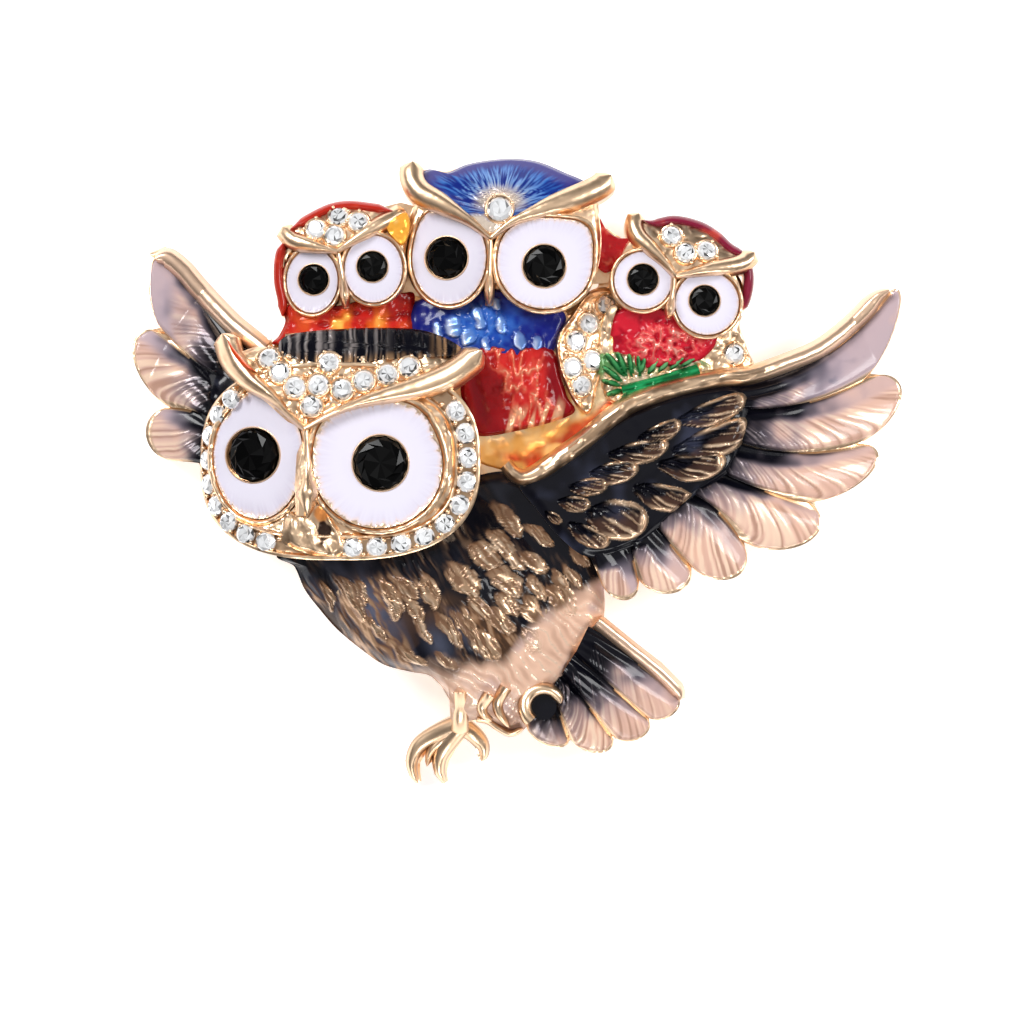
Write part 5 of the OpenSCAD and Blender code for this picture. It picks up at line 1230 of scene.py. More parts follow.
def body_surface(x, y, s):
    # The tufts have ragged outlines
    lobe, u, v = leaf_field(x + 0.30 * rough(x, y, 0.9, 82), y + 0.30 * rough(x, y, 0.9, 84), TUFTS)
    pale, wave, curl = body_down(x, y)
    # Hair runs down and to the right
    across = 0.86 * x + 0.50 * y + 0.35 * rough(x, y, 2.2, 83)
    down = 0.50 * x - 0.86 * y
    hair = 0.5 * noise(across, down * 0.16, 0.30, 85) + 0.5 * noise(across, down * 0.2, 0.15, 86)
    low = ease(-4.8, -7.0, y + 0.30 * x)
    belt = low * ease(0.25, 0.60, noise(across, down * 0.6, 1.7, 91)) * (1 - pale)
    strand = ease(0.50, 0.72, hair) * belt
    on = ease(0.05, 0.42, lobe + 0.35 * (hair - 0.5))
    # Each tuft is a lock of hair with its own strands
    lock = noise(across + 0.5 * v, down * 0.25, 0.21, 88)
    groove = ease(0.56, 0.30, lock)
    z = body_z(x, y) + 0.25 - 0.8 * ease(0.86, 1.0, s) ** 2 + (0.34 - 0.10 * pale) * lobe
    z = z + 0.06 * rough(x, y, 1.7, 87)
    z = z + 0.20 * (hair - 0.5) * (0.3 + belt) * (1 - pale) - 0.10 * on * groove
    z = z + 0.07 * curl + 0.02 * pale * rough(x, y, 1.1, 94)
    bare = on * ease(0.0, 0.5, u) * (1 - 0.85 * groove) * (1 - 0.7 * pale)
    pool = body_pool(x, y)
    sheen = body_sheen(x, across, down) * (1 - strand)
    brown = 0.9 * low * (1 - pool)
    shade = 0.55 * pale * ease(0.6, 1.0, wave) * ease(-0.4, 0.5, rough(x, y, 1.8, 97))
    tint = coloured(BLACK, (BODY_BROWN, brown), (SMOKE, sheen),
                    (HAIR_BROWN, 0.85 * belt * (1 - 0.9 * pool) * ease(0.34, 0.56, hair)),
                    (HAIR_GOLD, 0.8 * strand * (1 - 0.8 * pool)), (DOWN, pale),
                    (LILAC, 0.7 * pale * ease(0.1, 0.8, rough(x, y, 2.2, 96))),
                    (DOWN_SHADE, shade), (DOWN_LIGHT, 0.6 * curl),
                    (TUFT_SHADE, 0.85 * on * (1 - pale)), (TUFT_GOLD, 0.85 * bare),
                    (TUFT_LIGHT, 0.85 * bare * ease(0.55, 0.9, lock) * ease(0.15, 0.6, u)))
    metal = np.clip(0.75 * bare + 0.5 * strand * (1 - pool) + 0.35 * curl, 0, 1)
    return z, tint, metal


def mother_body():
    form = Form()
    pad(form, BODY, 440, BODY_AT, 112, body_surface)
    form.build("mother_body", "black_enamel", "body_enamel")


# Feet

LEG = ((-4.5, -17.5), (-4.5, -18.8), (-4.55, -20.0), (-4.6, -21.0))
TOES = ((((-4.4, -20.1), (-6.2, -20.9), (-7.8, -21.9), (-8.45, -23.1), (-8.4, -24.2), (-8.0, -25.1)), 4.6,
         1.9, 0.76), (((-4.6, -20.5), (-6.0, -21.5), (-6.95, -22.5), (-7.25, -23.7)), 4.2, 2.6, 0.52),
        (((-4.5, -20.4), (-5.5, -21.7), (-6.2, -22.9), (-6.25, -24.1), (-5.8, -25.1)), 4.6, 1.9, 0.74),
        (((-4.8, -20.2), (-3.7, -20.9), (-2.85, -21.8), (-2.65, -22.6), (-2.85, -23.3)), 4.4, 2.4, 0.74))
CRESCENTS = (((-2.2, -17.7), (-2.75, -18.6), (-2.6, -19.3), (-2.0, -19.9)),
             ((-0.9, -17.1), (-1.5, -18.2), (-1.4, -19.2), (-0.6, -20.4)))
BODY_HEM = ((-3.2, -19.7), (-2.3, -19.9), (-1.4, -20.5), (-0.5, -20.9), (0.5, -20.5))
CURL_AT = (2.05, -18.68)
CURL_R = 1.45


def toe(form, path, high, low, thick, blunt=0.30):
    def half(t):
        return thick * (1 - (1 - blunt) * t ** 2.5) * taper(t, 12)

    def surface(x, y, t, w):
        round_top = crest(w, 2, 0.55)
        knuckle = 0.10 * np.sin(9 * t + 1)
        z = mix(high, low, t) - 0.75 + (0.75 + knuckle) * round_top
        return z, gilt(0.8 * ease(0.66, 0.95, np.abs(w))), np.ones_like(x)

    ridge(form, path, half, surface, rows=60, cols=13, foot=level(max(0.3, low - 1.4)))


def feet():
    form = Form()
    toe(form, LEG, 7.7, 4.7, 0.60, blunt=1.3)
    for path, high, low, thick in TOES:
        toe(form, path, high, low, thick)
    for path in CRESCENTS:
        toe(form, path, 8.1, 6.2, 0.52)
    toe(form, BODY_HEM, 5.4, 5.6, 0.30, blunt=0.9)
    a = np.radians(np.arange(230, -1, -20))
    toe(form, arc(CURL_AT, CURL_R, a), 7.5, 6.7, 0.57, blunt=0.75)
    hole = arc(CURL_AT, 1.1, np.linspace(0, 2 * math.pi, 12, endpoint=False))
    pad(form, hole, 40, CURL_AT, 5,
        lambda x, y, s: (6.1 + 0 * x, coloured(BLACK, (SMOKE, 0 * x)), 0 * x))
    form.build("feet", "gold_casting")


# The owlets

MIDDLE_AT = (-1.2, 16.6)
MIDDLE_FACE = 7.9
LEFT_AT = (-13.9, 15.6)
RIGHT_AT = (12.4, 14.4)
SMALL_FACE = 6.9
SMALL_D = 1.6
MIDDLE_BROW_STONE = (-1.4, 20.81)
BROW_STONE_D = 2.0
MIDDLE_EYE_AT = (-5.4, 17.0)
SMALL_EYE_AT = (-16.3, 15.2)
MIDDLE_EYE_Z = 7.6
LEFT_EYE_Z = 6.8
RIGHT_EYE_Z = 6.7


def middle_head_z(x, y):
    return MIDDLE_FACE - 0.14 * np.maximum(0, y - 19.876) ** 2 - 0.015 * (x - MIDDLE_AT[0]) ** 2


def left_head_z(x, y):
    up = (x - LEFT_AT[0]) * -0.17 + (y - LEFT_AT[1]) * 0.985
    return SMALL_FACE + 0.2 - 0.12 * np.maximum(0, up - 2.5) ** 2 - 0.02 * (x - LEFT_AT[0]) ** 2


def right_head_z(x, y):
    up = (x - RIGHT_AT[0]) * 0.33 + (y - RIGHT_AT[1]) * 0.944
    return SMALL_FACE - 0.12 * np.maximum(0, up - 2.288) ** 2 - 0.02 * (x - RIGHT_AT[0]) ** 2


def middle_chest_z(x, y):
    return MIDDLE_FACE - 1 - 0.03 * (x - MIDDLE_AT[0]) ** 2 - 0.02 * (y - 8.02) ** 2


def small_chest_z(at):
    return lambda x, y: SMALL_FACE - 0.85 - 0.03 * (x - at[0]) ** 2


def face_z(head_z, top, eye_at, reach):
    """A face that is no higher than top and drawn back under one eye."""
    return lambda x, y: np.minimum(head_z(x, y), top) - sunk(x, y, eye_at, reach)


def brow(form, path, thick, plane, seed, fall=1.6):
    """An owlet's brow: it widens from the beak and drops to its pointed tip."""
    def half(t):
        wide = mix(0.34, thick, ease(0.0, 0.7, t)) * taper(t, 16)
        return wide, wide * 0.9

    def surface(x, y, t, w):
        high = crest(w)
        wear = rough(x, y, 0.5, seed)
        z = plane - 0.05 - fall * t ** 3 + 0.95 * high + 0.03 * wear
        dark = 0.55 * ease(0.78, 1.0, np.abs(w)) + 0.2 * ease(0, -0.8, wear)
        return z, gilt(dark), np.ones_like(x)

    ridge(form, path, half, surface, rows=90, cols=13)


def beak(form, path, plane):
    def half(t):
        return 0.33 * (0.8 + 0.5 * bell(t, 0.75, 0.18)) * taper(t, 8)

    def surface(x, y, t, w):
        high = crest(w, 2, 0.7)
        z = plane + 0.1 + (0.45 + 0.55 * bell(t, 0.78, 0.2)) * high
        return z, gilt(0.5 * ease(0.75, 1.0, np.abs(w))), np.ones_like(x)

    ridge(form, path, half, surface, rows=60, cols=9)


def gold_pad(form, outline, middle, base, lift, seed, rim=0.0, points=190, rows=22, deep=0.09):
    """Hammered metal over an area, with a raised edge if rim is more than zero."""
    def surface(x, y, s):
        lump, tint = hammered(x, y, seed, deep, 0.5)
        edge = bell(s, 0.93, 0.05)
        z = base(x, y) + lift + lump + rim * edge - 0.4 * ease(0.95, 1.0, s)
        return z, coloured(tint, (GOLD, 0.6 * edge * (rim > 0))), np.ones_like(x)

    pad(form, outline, points, middle, rows, surface)


def enamel_pad(name, slot, outline, middle, base, look, points=270, rows=48):
    """look(x, y, s) gives the lift over the base, the tint and the share of bare metal."""
    form = Form()

    def surface(x, y, s):
        lift, tint, metal = look(x, y, s)
        return base(x, y) + lift - 0.35 * ease(0.9, 1.0, s) ** 2, tint, metal

    pad(form, outline, points, middle, rows, surface)
    form.build(name, slot)


MIDDLE_CROWN = ((5.6, 22.9), (3.6, 24.0), (1.8, 24.8), (0.0, 25.1), (-2.0, 25.0), (-4.0, 24.6),
                (-5.6, 23.9), (-7.0, 24.2), (-7.9, 23.6), (-7.5, 22.4), (-5.9, 21.4), (-3.9, 20.2),
                (-2.1, 18.7), (-0.4, 19.8), (1.8, 20.7), (4.4, 21.6))
MIDDLE_BREAST = ((-8.2, 13.6), (-8.75, 12.2), (-8.0, 10.6), (-6.9, 9.5), (-5.6, 8.5), (-4.0, 8.9),
                 (-2.6, 9.5), (0.2, 9.0), (2.4, 9.1), (3.3, 10.6), (3.9, 12.4), (2.4, 13.6), (0.0, 14.2),
                 (-2.2, 14.6), (-5.0, 14.2))
MIDDLE_BELLY = ((-3.0, 9.9), (-3.9, 8.2), (-4.5, 6.6), (-4.0, 4.6), (-3.2, 2.9), (0.2, 3.3), (4.4, 4.6),
                (4.0, 6.0), (3.5, 7.5), (2.7, 9.8), (0.0, 9.9))
MIDDLE_BASE = ((-4.6, 5.2), (-4.0, 2.6), (-3.2, 0.8), (-1.0, 0.0), (0.4, -0.5), (3.4, 1.2), (5.8, 2.8),
               (7.6, 4.4), (9.0, 6.2), (7.9, 9.5), (8.2, 12.5), (7.2, 13.0), (5.5, 9.0), (2.0, 5.4),
               (-1.0, 4.6))
MIDDLE_WING = ((6.9, 14.8), (5.6, 14.3), (4.4, 12.6), (3.3, 11.0), (3.1, 9.6), (3.5, 7.8), (4.5, 5.6),
               (5.7, 4.5), (6.5, 6.8), (7.0, 8.8), (6.9, 10.6), (7.6, 12.2), (8.5, 13.4), (8.3, 14.5))
MIDDLE_WING_STONES = ((5.75, 11.85), (4.75, 10.42), (6.05, 8.88), (4.45, 8.3), (5.17, 6.85), (7.2, 13.35))
MIDDLE_WING_BEADS = ((5.0, 12.9), (3.9, 9.4), (5.3, 9.6), (6.7, 12.3), (4.3, 6.6), (6.2, 10.3), (4.9, 5.6))
MIDDLE_FACE_OUTLINE = ((-8.8, 19.4), (-9.0, 17.4), (-8.3, 14.8), (-6.8, 13.8), (-4.0, 13.8), (-2.2, 14.9),
                       (-0.8, 14.5), (0.8, 13.4), (3.4, 13.2), (5.6, 14.4), (6.6, 17.0), (6.6, 20.0),
                       (5.8, 22.2), (1.8, 20.8), (-2.1, 18.8), (-5.7, 21.4), (-7.6, 22.2))


MIDDLE_BROWS = (((-2.1, 18.5), (-3.9, 20.05), (-5.9, 21.25), (-7.6, 22.2), (-8.3, 23.3), (-8.3, 24.7)),
                ((-2.1, 18.5), (-0.4, 19.8), (1.8, 20.7), (4.4, 21.6), (6.5, 22.6), (7.5, 23.6)))
MIDDLE_BEAK = ((-2.1, 18.4), (-2.15, 16.3), (-2.2, 14.4), (-2.2, 13.1))

# Lumps of the blue breast: root, tip and width
BLUE_LUMPS = ((-5.3, 12.9, -5.0, 10.7, 1.5), (-3.9, 11.9, -3.9, 9.9, 1.4), (-3.4, 13.6, -2.9, 11.2, 1.1),
              (-1.4, 12.6, -1.3, 10.9, 1.2), (0.0, 11.6, 0.3, 9.6, 1.1), (1.4, 11.2, 1.8, 9.4, 1.1),
              (-2.5, 10.9, -2.4, 9.4, 0.9), (-6.5, 12.2, -6.3, 10.4, 1.0), (-1.9, 14.2, -1.6, 12.9, 0.8))


def blue_crown(x, y, s):
    dx, dy = x + 1.4, y - 20.4
    turn = np.arctan2(dx, dy)
    out = np.hypot(dx, dy)
    broad = noise(turn * 20 + 0.6 * rough(x, y, 1.2, 103), out * 0.6, 0.55, 101)
    stripe = 0.5 * broad + 0.5 * noise(turn * 36, out * 0.9, 0.6, 102)
    close = ease(4.4, 1.8, out + 1.6 * (0.5 - stripe)) * ease(1.0, 0.5, np.abs(turn) / 1.6)
    pale = ease(0.38, 0.62, stripe) * close
    rim = np.maximum(ease(0.64, 0.86, s + 0.1 * (0.5 - stripe)) * ease(20.6, 22.4, y),
                     ease(4.6, 6.6, np.abs(x + 1.0)) * ease(21.2, 22.6, y))
    lift = 0.42 - 0.12 * (0.5 - stripe) * ease(6.5, 3, out) + 0.05 * rough(x, y, 1.8, 105)
    bare = np.maximum(close * ease(2.8, 1.5, out + 1.2 * (0.5 - stripe)),
                      ease(20.5, 19.8, y + 0.4 * rough(x, y, 0.7, 107)))
    tint = coloured(BLUE, (CAP_LIGHT, 0.85 * ease(0.45, 0.66, stripe)),
                    (CAP_SHADE, 0.85 * ease(0.48, 0.34, stripe)), (CAP_PALE, 0.8 * pale),
                    (DEEP_BLUE, rim), (CAP_BARE, 0.9 * bare))
    return lift, tint, np.maximum(0.45 * pale * ease(4, 2, out), 0.7 * bare)


def blue_breast(x, y, s):
    lump, u, v = leaf_field(x + 0.3 * rough(x, y, 0.8, 115), y + 0.3 * rough(x, y, 0.8, 116), BLUE_LUMPS)
    centre = spot(x, y, (-2.6, 11.6), (2.9, 1.9))
    crease = folds(x, y, 0.8, 113) * centre
    # Painted highlights, partly metal: the tops of the lumps turn lighter blue, and a pale glint lies on one
    # side of each
    gleam = ease(0.35, 0.8, lump) * ease(0.2, 0.9, 1 - v ** 2)
    lift = 0.30 + 0.32 * lump + 0.14 * crease + 0.09 * rough(x, y, 0.9, 112)
    glint = 0.7 * gleam * ease(0.2, -0.5, v) * ease(0.2, 0.5, u)
    tint = coloured(NIGHT_BLUE, (COBALT, ease(0.15, 0.8, centre)), (AZURE, 0.6 * crease),
                    (GLEAM_BLUE, 0.6 * gleam), (GLINT_BLUE, glint), (DEEP_BLUE, 0.7 * ease(0.88, 1.0, s)))
    return lift, tint, 0.3 * gleam


def red_belly(x, y, s):
    wander = 0.7 * rough(x, y, 1.5, 120)
    left, right = 0.27 * (6.0 - y) - 1.5, 2.9 + 0.2 * (6.0 - y)
    mid = ease(left - 1.0, left + 1.2, x + wander) * ease(right + 0.9, right - 0.9, x + wander)
    crease = folds(x * 1.2, y * 0.55, 0.8, 121) * mid
    dent = ease(0.1, -0.8, rough(x, y, 0.9, 123)) * mid
    wave = noise(x + 0.25 * y, 0.12 * y, 0.75, 125) * (1 - mid)
    lift = 0.30 + 0.24 * crease + 0.18 * rough(x, y, 1.1, 122) * (0.4 + mid) - 0.10 * dent
    lift = lift + 0.22 * wave + 0.1 * ease(8.6, 9.2, y)
    # Pale streaks run up from the base
    hem = y - (3.65 + 0.232 * x) + 0.6 * rough(x, y, 0.8, 127)
    streak = ease(1.9, 0.3, hem) * ease(0.42, 0.66, noise(x - 0.3 * y, 0.25 * y, 0.42, 128))
    streak = streak * ease(-1.4, -0.3, x) * ease(4.2, 3.2, x)
    # The fold crests turn bright red and pale: partly metal showing through, partly painted highlight
    tint = coloured(RED, (BELLY_RED, 0.8 * mid), (BELLY_DENT, 0.8 * dent),
                    (BELLY_FOLD, 0.8 * ease(0.6, 0.25, wave) * (1 - mid)),
                    (BELLY_CREST_SHEEN, 0.7 * ease(0.35, 0.9, crease)),
                    (BELLY_HIGHLIGHT, 0.55 * ease(0.8, 1.0, crease)), (BELLY_RIM, 0.7 * ease(0.84, 1.0, s)),
                    (BELLY_STREAK, 0.85 * streak))
    return lift + 0.10 * streak, tint, np.maximum(0.45 * ease(0.5, 1.0, crease), 0.5 * streak)


def amber_base(x, y, s):
    lump = rough(x, y, 0.9, 131)
    crease = folds(x, y, 1.3, 133)
    # Along the wing's edge lie two red patches
    out = y - np.interp(x, (-3.0, 0.4, 3.4, 5.8, 7.6, 9.0), (0.2, -0.6, 1.2, 2.8, 4.4, 6.2))
    red = ease(2.3, 1.2, out + 0.4 * lump) * ease(0.35, 0.6, noise(x, y, 1.6, 135))
    top = ease(2.2, 3.6, y - 0.3 * x)
    tint = coloured(BASE_AMBER, (BASE_HONEY, ease(-0.2, 0.7, lump)),
                    (BASE_PALE, 0.8 * top * ease(0.2, 0.9, crease)), (BASE_RED, 0.9 * red),
                    (BASE_CREST, 0.5 * red * crease))
    lift = 0.1 + 0.12 * lump + 0.14 * crease * top + 0.22 * rough(x, y, 0.6, 137) * ease(5.5, 7.0, x)
    return lift, tint, 0.25 + 0.35 * top * crease


def middle_owlet():
    under = Form()
    face = face_z(middle_head_z, 7.5, MIDDLE_EYE_AT, (3.3, 4.0))
    gold_pad(under, MIDDLE_FACE_OUTLINE, (-1.4, 16.6), face, -0.75, 141, points=180, rows=24)
    gold_pad(under, MIDDLE_WING, (5.4, 9.6), middle_chest_z, 0.5, 143, rim=0.25, points=240, rows=32,
             deep=0.11)
    seats(under, MIDDLE_WING_STONES, middle_chest_z, SMALL_D, 0.62, 0.6)
    beads(under, MIDDLE_WING_BEADS, middle_chest_z, 0.55, 0.24)
    x, y = MIDDLE_BROW_STONE
    z = float(middle_head_z(x, y)) + 0.55
    seat_ring(under, x, y, z, BROW_STONE_D, Vector((0, 0.06, 1)).normalized(), 0.4)
    brow(under, MIDDLE_BROWS[0], 1.02, MIDDLE_EYE_Z, 145)
    brow(under, MIDDLE_BROWS[1], 1.08, MIDDLE_EYE_Z, 147)
    beak(under, MIDDLE_BEAK, MIDDLE_EYE_Z)
    under.build("middle_owlet_metal", "gold_casting")
    stone_field("middle_brow_stone", (MIDDLE_BROW_STONE,), middle_head_z, d=BROW_STONE_D, lift=0.58)
    stone_field("middle_wing_stones", MIDDLE_WING_STONES, middle_chest_z, d=SMALL_D, lift=0.66)
    enamel_pad("middle_owlet_cap", "blue_enamel", MIDDLE_CROWN, (-1.3, 22.2), middle_head_z, blue_crown,
               350, 54)
    enamel_pad("middle_owlet_breast", "blue_enamel", MIDDLE_BREAST, (-2.4, 11.6), middle_chest_z, blue_breast)
    enamel_pad("middle_owlet_belly", "red_enamel", MIDDLE_BELLY, (-0.2, 6.6), middle_chest_z, red_belly)
    enamel_pad("middle_owlet_base", "gold_casting", MIDDLE_BASE, (1.6, 2.6),
               lambda x, y: np.maximum(middle_chest_z(x, y) - 0.45, 5.4), amber_base, 240, 40)
    eye("middle_owlet_eye_left", MIDDLE_EYE_AT, (2.95, 3.7), (-5.62, 17.0), 3.3, MIDDLE_EYE_Z, 0.3, 151,
        teeth=0.5, rim=0.4, corners=((125, 0.13),))
    eye("middle_owlet_eye_right", (2.2, 16.5), (3.75, 3.6), (2.15, 16.3), 3.3, MIDDLE_EYE_Z, 0, 153,
        teeth=0.5, rim=0.4, corners=((42, 0.2), (140, 0.06)))


LEFT_CROWN = ((-10.0, 20.7), (-11.6, 21.1), (-13.4, 21.3), (-14.8, 21.1), (-16.3, 20.4), (-17.9, 19.4),
              (-18.5, 18.9), (-17.2, 18.0), (-15.6, 17.9), (-14.2, 17.3), (-12.7, 18.5), (-11.2, 19.5))
LEFT_RIM = ((-18.0, 19.3), (-16.3, 20.35), (-14.8, 21.05), (-13.4, 21.25), (-11.6, 21.05), (-9.9, 20.75))
LEFT_CHEEK = ((-18.5, 18.4), (-18.95, 17.0), (-19.0, 15.2), (-18.7, 13.6), (-18.7, 12.4))
LEFT_STONES = ((-16.0, 19.3), (-14.2, 20.3), (-14.5, 18.75), (-12.6, 19.87))
LEFT_FACE = ((-18.6, 17.8), (-18.9, 15.4), (-18.2, 12.9), (-15.8, 11.9), (-12.2, 12.6), (-9.3, 14.2),
             (-8.8, 17.0), (-9.4, 19.6), (-12.6, 18.6), (-14.2, 17.4), (-16.2, 17.9))
LEFT_BREAST = ((-18.6, 13.4), (-18.5, 12.0), (-19.0, 10.9), (-19.5, 10.2), (-17.0, 10.3), (-13.0, 10.8),
               (-8.7, 10.9), (-8.4, 12.3), (-8.2, 14.2), (-9.2, 14.3), (-11.5, 14.0), (-13.9, 13.3),
               (-16.0, 13.2))
RIGHT_CROWN = ((18.6, 17.3), (17.0, 17.9), (15.9, 19.0), (14.5, 19.8), (12.6, 20.2), (11.0, 19.9),
               (9.9, 19.9), (9.7, 18.9), (10.6, 17.9), (11.6, 16.8), (12.7, 15.6), (14.6, 16.1),
               (16.6, 16.4))
RIGHT_RIM = ((18.7, 17.1), (17.1, 17.8), (15.9, 18.9), (14.5, 19.7), (12.6, 20.1), (11.0, 19.8), (10.0, 20.0))
RIGHT_CHEEK = ((18.3, 16.9), (18.5, 15.4), (18.3, 14.0), (17.8, 12.8))
RIGHT_STONES = ((12.3, 18.8), (13.4, 17.4), (15.1, 17.6))
RIGHT_FACE = ((9.2, 18.8), (7.6, 16.0), (7.9, 13.6), (9.4, 12.4), (12.0, 11.6), (14.0, 10.8),
              (16.4, 10.9), (17.7, 12.6), (18.1, 14.6), (17.2, 16.1), (15.2, 16.1), (12.6, 15.6),
              (11.2, 17.4))
RIGHT_BREAST = ((7.4, 12.6), (7.0, 11.2), (7.8, 9.0), (9.6, 8.2), (11.6, 8.3), (14.4, 8.7), (15.6, 9.6),
                (16.2, 10.9), (14.4, 11.3), (12.2, 12.8), (9.8, 13.2))
RIGHT_SIDE = ((14.2, 8.6), (15.6, 7.6), (18.9, 8.0), (18.4, 9.9), (17.8, 11.8), (18.3, 13.4),
              (17.4, 13.6), (16.6, 11.4), (15.0, 10.6))


LEFT_BROWS = (((-14.25, 17.5), (-15.3, 17.75), (-16.3, 18.0), (-17.8, 18.5), (-18.7, 19.5)),
              ((-14.25, 17.5), (-12.8, 18.5), (-11.1, 19.5), (-9.9, 20.2), (-8.9, 20.8)))
LEFT_BEAK = ((-14.2, 17.4), (-13.9, 15.6), (-13.7, 14.2), (-13.6, 13.0))
RIGHT_BROWS = (((12.6, 15.55), (11.6, 16.8), (10.5, 17.9), (9.7, 18.7), (9.4, 19.6), (9.7, 20.6)),
               ((12.6, 15.55), (13.7, 15.75), (15.4, 16.1), (17.1, 16.3), (18.2, 16.7), (18.9, 17.5)))
RIGHT_BEAK = ((12.5, 15.5), (12.4, 14.4), (12.2, 13.2), (12.0, 12.1))

# Name, middle, reach, middle of the pupil, height and slope
SMALL_EYES = (("left_owlet_eye_left", SMALL_EYE_AT, (2.05, 2.55), (-16.2, 15.3), LEFT_EYE_Z, 0.25),
              ("left_owlet_eye_right", (-11.4, 16.1), (2.3, 2.66), (-11.5, 16.3), LEFT_EYE_Z, 0),
              ("right_owlet_eye_left", (10.0, 15.2), (2.28, 2.28), (10.0, 15.3), RIGHT_EYE_Z, 0),
              ("right_owlet_eye_right", (15.1, 13.4), (2.52, 2.52), (14.9, 13.6), RIGHT_EYE_Z, 0))


def ember_breast(x, y, s):
    glow = spot(x, y, (-13.0, 11.9), (3.4, 1.1)) * ease(0.2, 0.65, noise(x, y, 0.9, 163))
    crease = folds(x, y * 0.7, 0.8, 161)
    line = ease(0.5, 0.2, noise(x * 0.35, y, 0.45, 165))
    tint = coloured(EMBER, (EMBER_GLOW, glow), (EMBER_HEART, 0.85 * ease(0.5, 0.9, glow)),
                    (EMBER_LINE, 0.6 * line * (1 - glow)), (EMBER_RIM, 0.6 * ease(0.86, 1, s)))
    return 0.28 + 0.18 * crease - 0.10 * line + 0.08 * rough(x, y, 0.8, 164), tint, 0.3 * glow


def crimson_breast(x, y, s):
    centre = spot(x, y, (11.8, 10.2), (3.3, 1.7))
    crease = folds(x, y * 0.8, 0.62, 171) * ease(0.15, 0.7, centre)
    dent = ease(0.0, -0.8, rough(x, y, 0.7, 173))
    # The fold crests turn bright crimson and pale pink: partly metal showing through, partly painted
    # highlight
    tint = coloured(CRIMSON, (CRIMSON_DENT, 0.75 * dent), (CRIMSON_CREST_SHEEN, 0.7 * ease(0.25, 0.7, crease)),
                    (CRIMSON_HIGHLIGHT, 0.6 * ease(0.75, 1, crease)), (CRIMSON_RIM, 0.6 * ease(0.86, 1, s)))
    lift = 0.30 + 0.34 * crease - 0.12 * dent + 0.08 * rough(x, y, 0.9, 172)
    return lift, tint, 0.5 * ease(0.5, 0.95, crease)


def cap_edge(form, path, base, colour, seed):
    """A band of enamel along the outer edge of the crown or the cheek."""
    def surface(x, y, t, w):
        high = crest(w, 2, 0.6)
        shine = rough(x, y, 1.0, seed)
        tint = coloured(colour, (CAP_SHINE, 0.5 * ease(0.2, 0.9, shine)))
        return base(x, y) - 0.25 + 0.7 * high, tint, np.zeros_like(x)

    def half(t):
        return 0.40 * np.minimum(1, 6 * t + 0.2) * np.minimum(1, 6 * (1 - t) + 0.2)

    ridge(form, path, half, surface, rows=90, cols=11)


def small_owlet(side, at, crown, rim, cheek, rim_colour, stones, face, head_z, brows, beak_path, seed):
    form = Form()
    base = face_z(head_z, SMALL_FACE - 0.2, SMALL_EYE_AT, (2.3, 2.8))
    gold_pad(form, face, (at[0], at[1] - 0.3), base, -0.75, seed, points=150, rows=20)
    gold_pad(form, crown, np.mean(crown, axis=0), head_z, 0.05, seed + 1, points=200, rows=22, deep=0.10)
    cap_edge(form, rim, head_z, rim_colour, seed + 2)
    cap_edge(form, cheek, level(SMALL_FACE - 1.0), rim_colour, seed + 4)
    seats(form, stones, head_z, SMALL_D, 0.2, 0.5)
    for path in brows:
        brow(form, path, 0.82, SMALL_FACE - 0.05, seed + 3, fall=1.3)
    beak(form, beak_path, SMALL_FACE - 0.1)
    form.build(side + "_owlet_metal", "gold_casting")
    stone_field(side + "_crown_stones", stones, head_z, d=SMALL_D, lift=0.24)


def small_owlets():
    small_owlet("left", LEFT_AT, LEFT_CROWN, LEFT_RIM, LEFT_CHEEK, LEFT_CAP_RED, LEFT_STONES, LEFT_FACE,
                left_head_z, LEFT_BROWS, LEFT_BEAK, 181)
    small_owlet("right", RIGHT_AT, RIGHT_CROWN, RIGHT_RIM, RIGHT_CHEEK, RIGHT_CAP_RED, RIGHT_STONES,
                RIGHT_FACE, right_head_z, RIGHT_BROWS, RIGHT_BEAK, 191)
    enamel_pad("left_owlet_breast", "red_enamel", LEFT_BREAST, (-13.4, 12.0), small_chest_z(LEFT_AT),
               ember_breast)
    enamel_pad("right_owlet_breast", "red_enamel", RIGHT_BREAST, (11.4, 10.6), small_chest_z(RIGHT_AT),
               crimson_breast)
    for k, (name, at, reach, pupil, top, slope) in enumerate(SMALL_EYES):
        eye(name, at, reach, pupil, 2.4, top, slope, 201 + 2 * k, gold_ring=0.12, teeth=0.35, rim=0.36)


BRANCH = ((8.4, 6.3), (10.6, 6.85), (12.4, 7.35), (14.5, 8.0))
BRANCH_LEAVES = ((8.8, 7.3, 7.0, 9.6, 0.55), (8.9, 7.3, 7.9, 9.8, 0.55), (9.2, 7.3, 8.9, 9.5, 0.5),
                 (8.6, 7.0, 6.8, 8.4, 0.55), (8.5, 6.8, 6.7, 7.3, 0.5), (8.6, 6.6, 7.1, 6.1, 0.55),
                 (9.0, 6.5, 8.3, 5.6, 0.5), (9.6, 7.4, 10.2, 9.1, 0.55), (10.3, 7.6, 11.3, 9.1, 0.55),
                 (11.1, 7.8, 12.3, 9.1, 0.5), (12.0, 8.0, 13.3, 9.2, 0.5), (9.9, 7.4, 9.6, 9.3, 0.45),
                 (12.9, 8.3, 14.2, 9.1, 0.45))
BRANCH_BED = ((6.7, 9.4), (6.6, 7.4), (7.4, 5.6), (9.6, 5.7), (12.6, 6.5), (15.4, 7.4), (15.2, 8.8),
              (12.6, 9.2), (9.6, 9.4))
WING_GAP = ((7.5, 13.3), (6.9, 12.2), (6.6, 10.4), (6.6, 8.8), (7.3, 8.8), (7.4, 10.6), (7.7, 12.2),
            (8.0, 13.2))
LEFT_GAP = ((-9.6, 20.3), (-10.4, 19.5), (-9.9, 18.6), (-9.2, 18.0), (-8.7, 18.6), (-8.5, 19.8), (-8.8, 20.6))
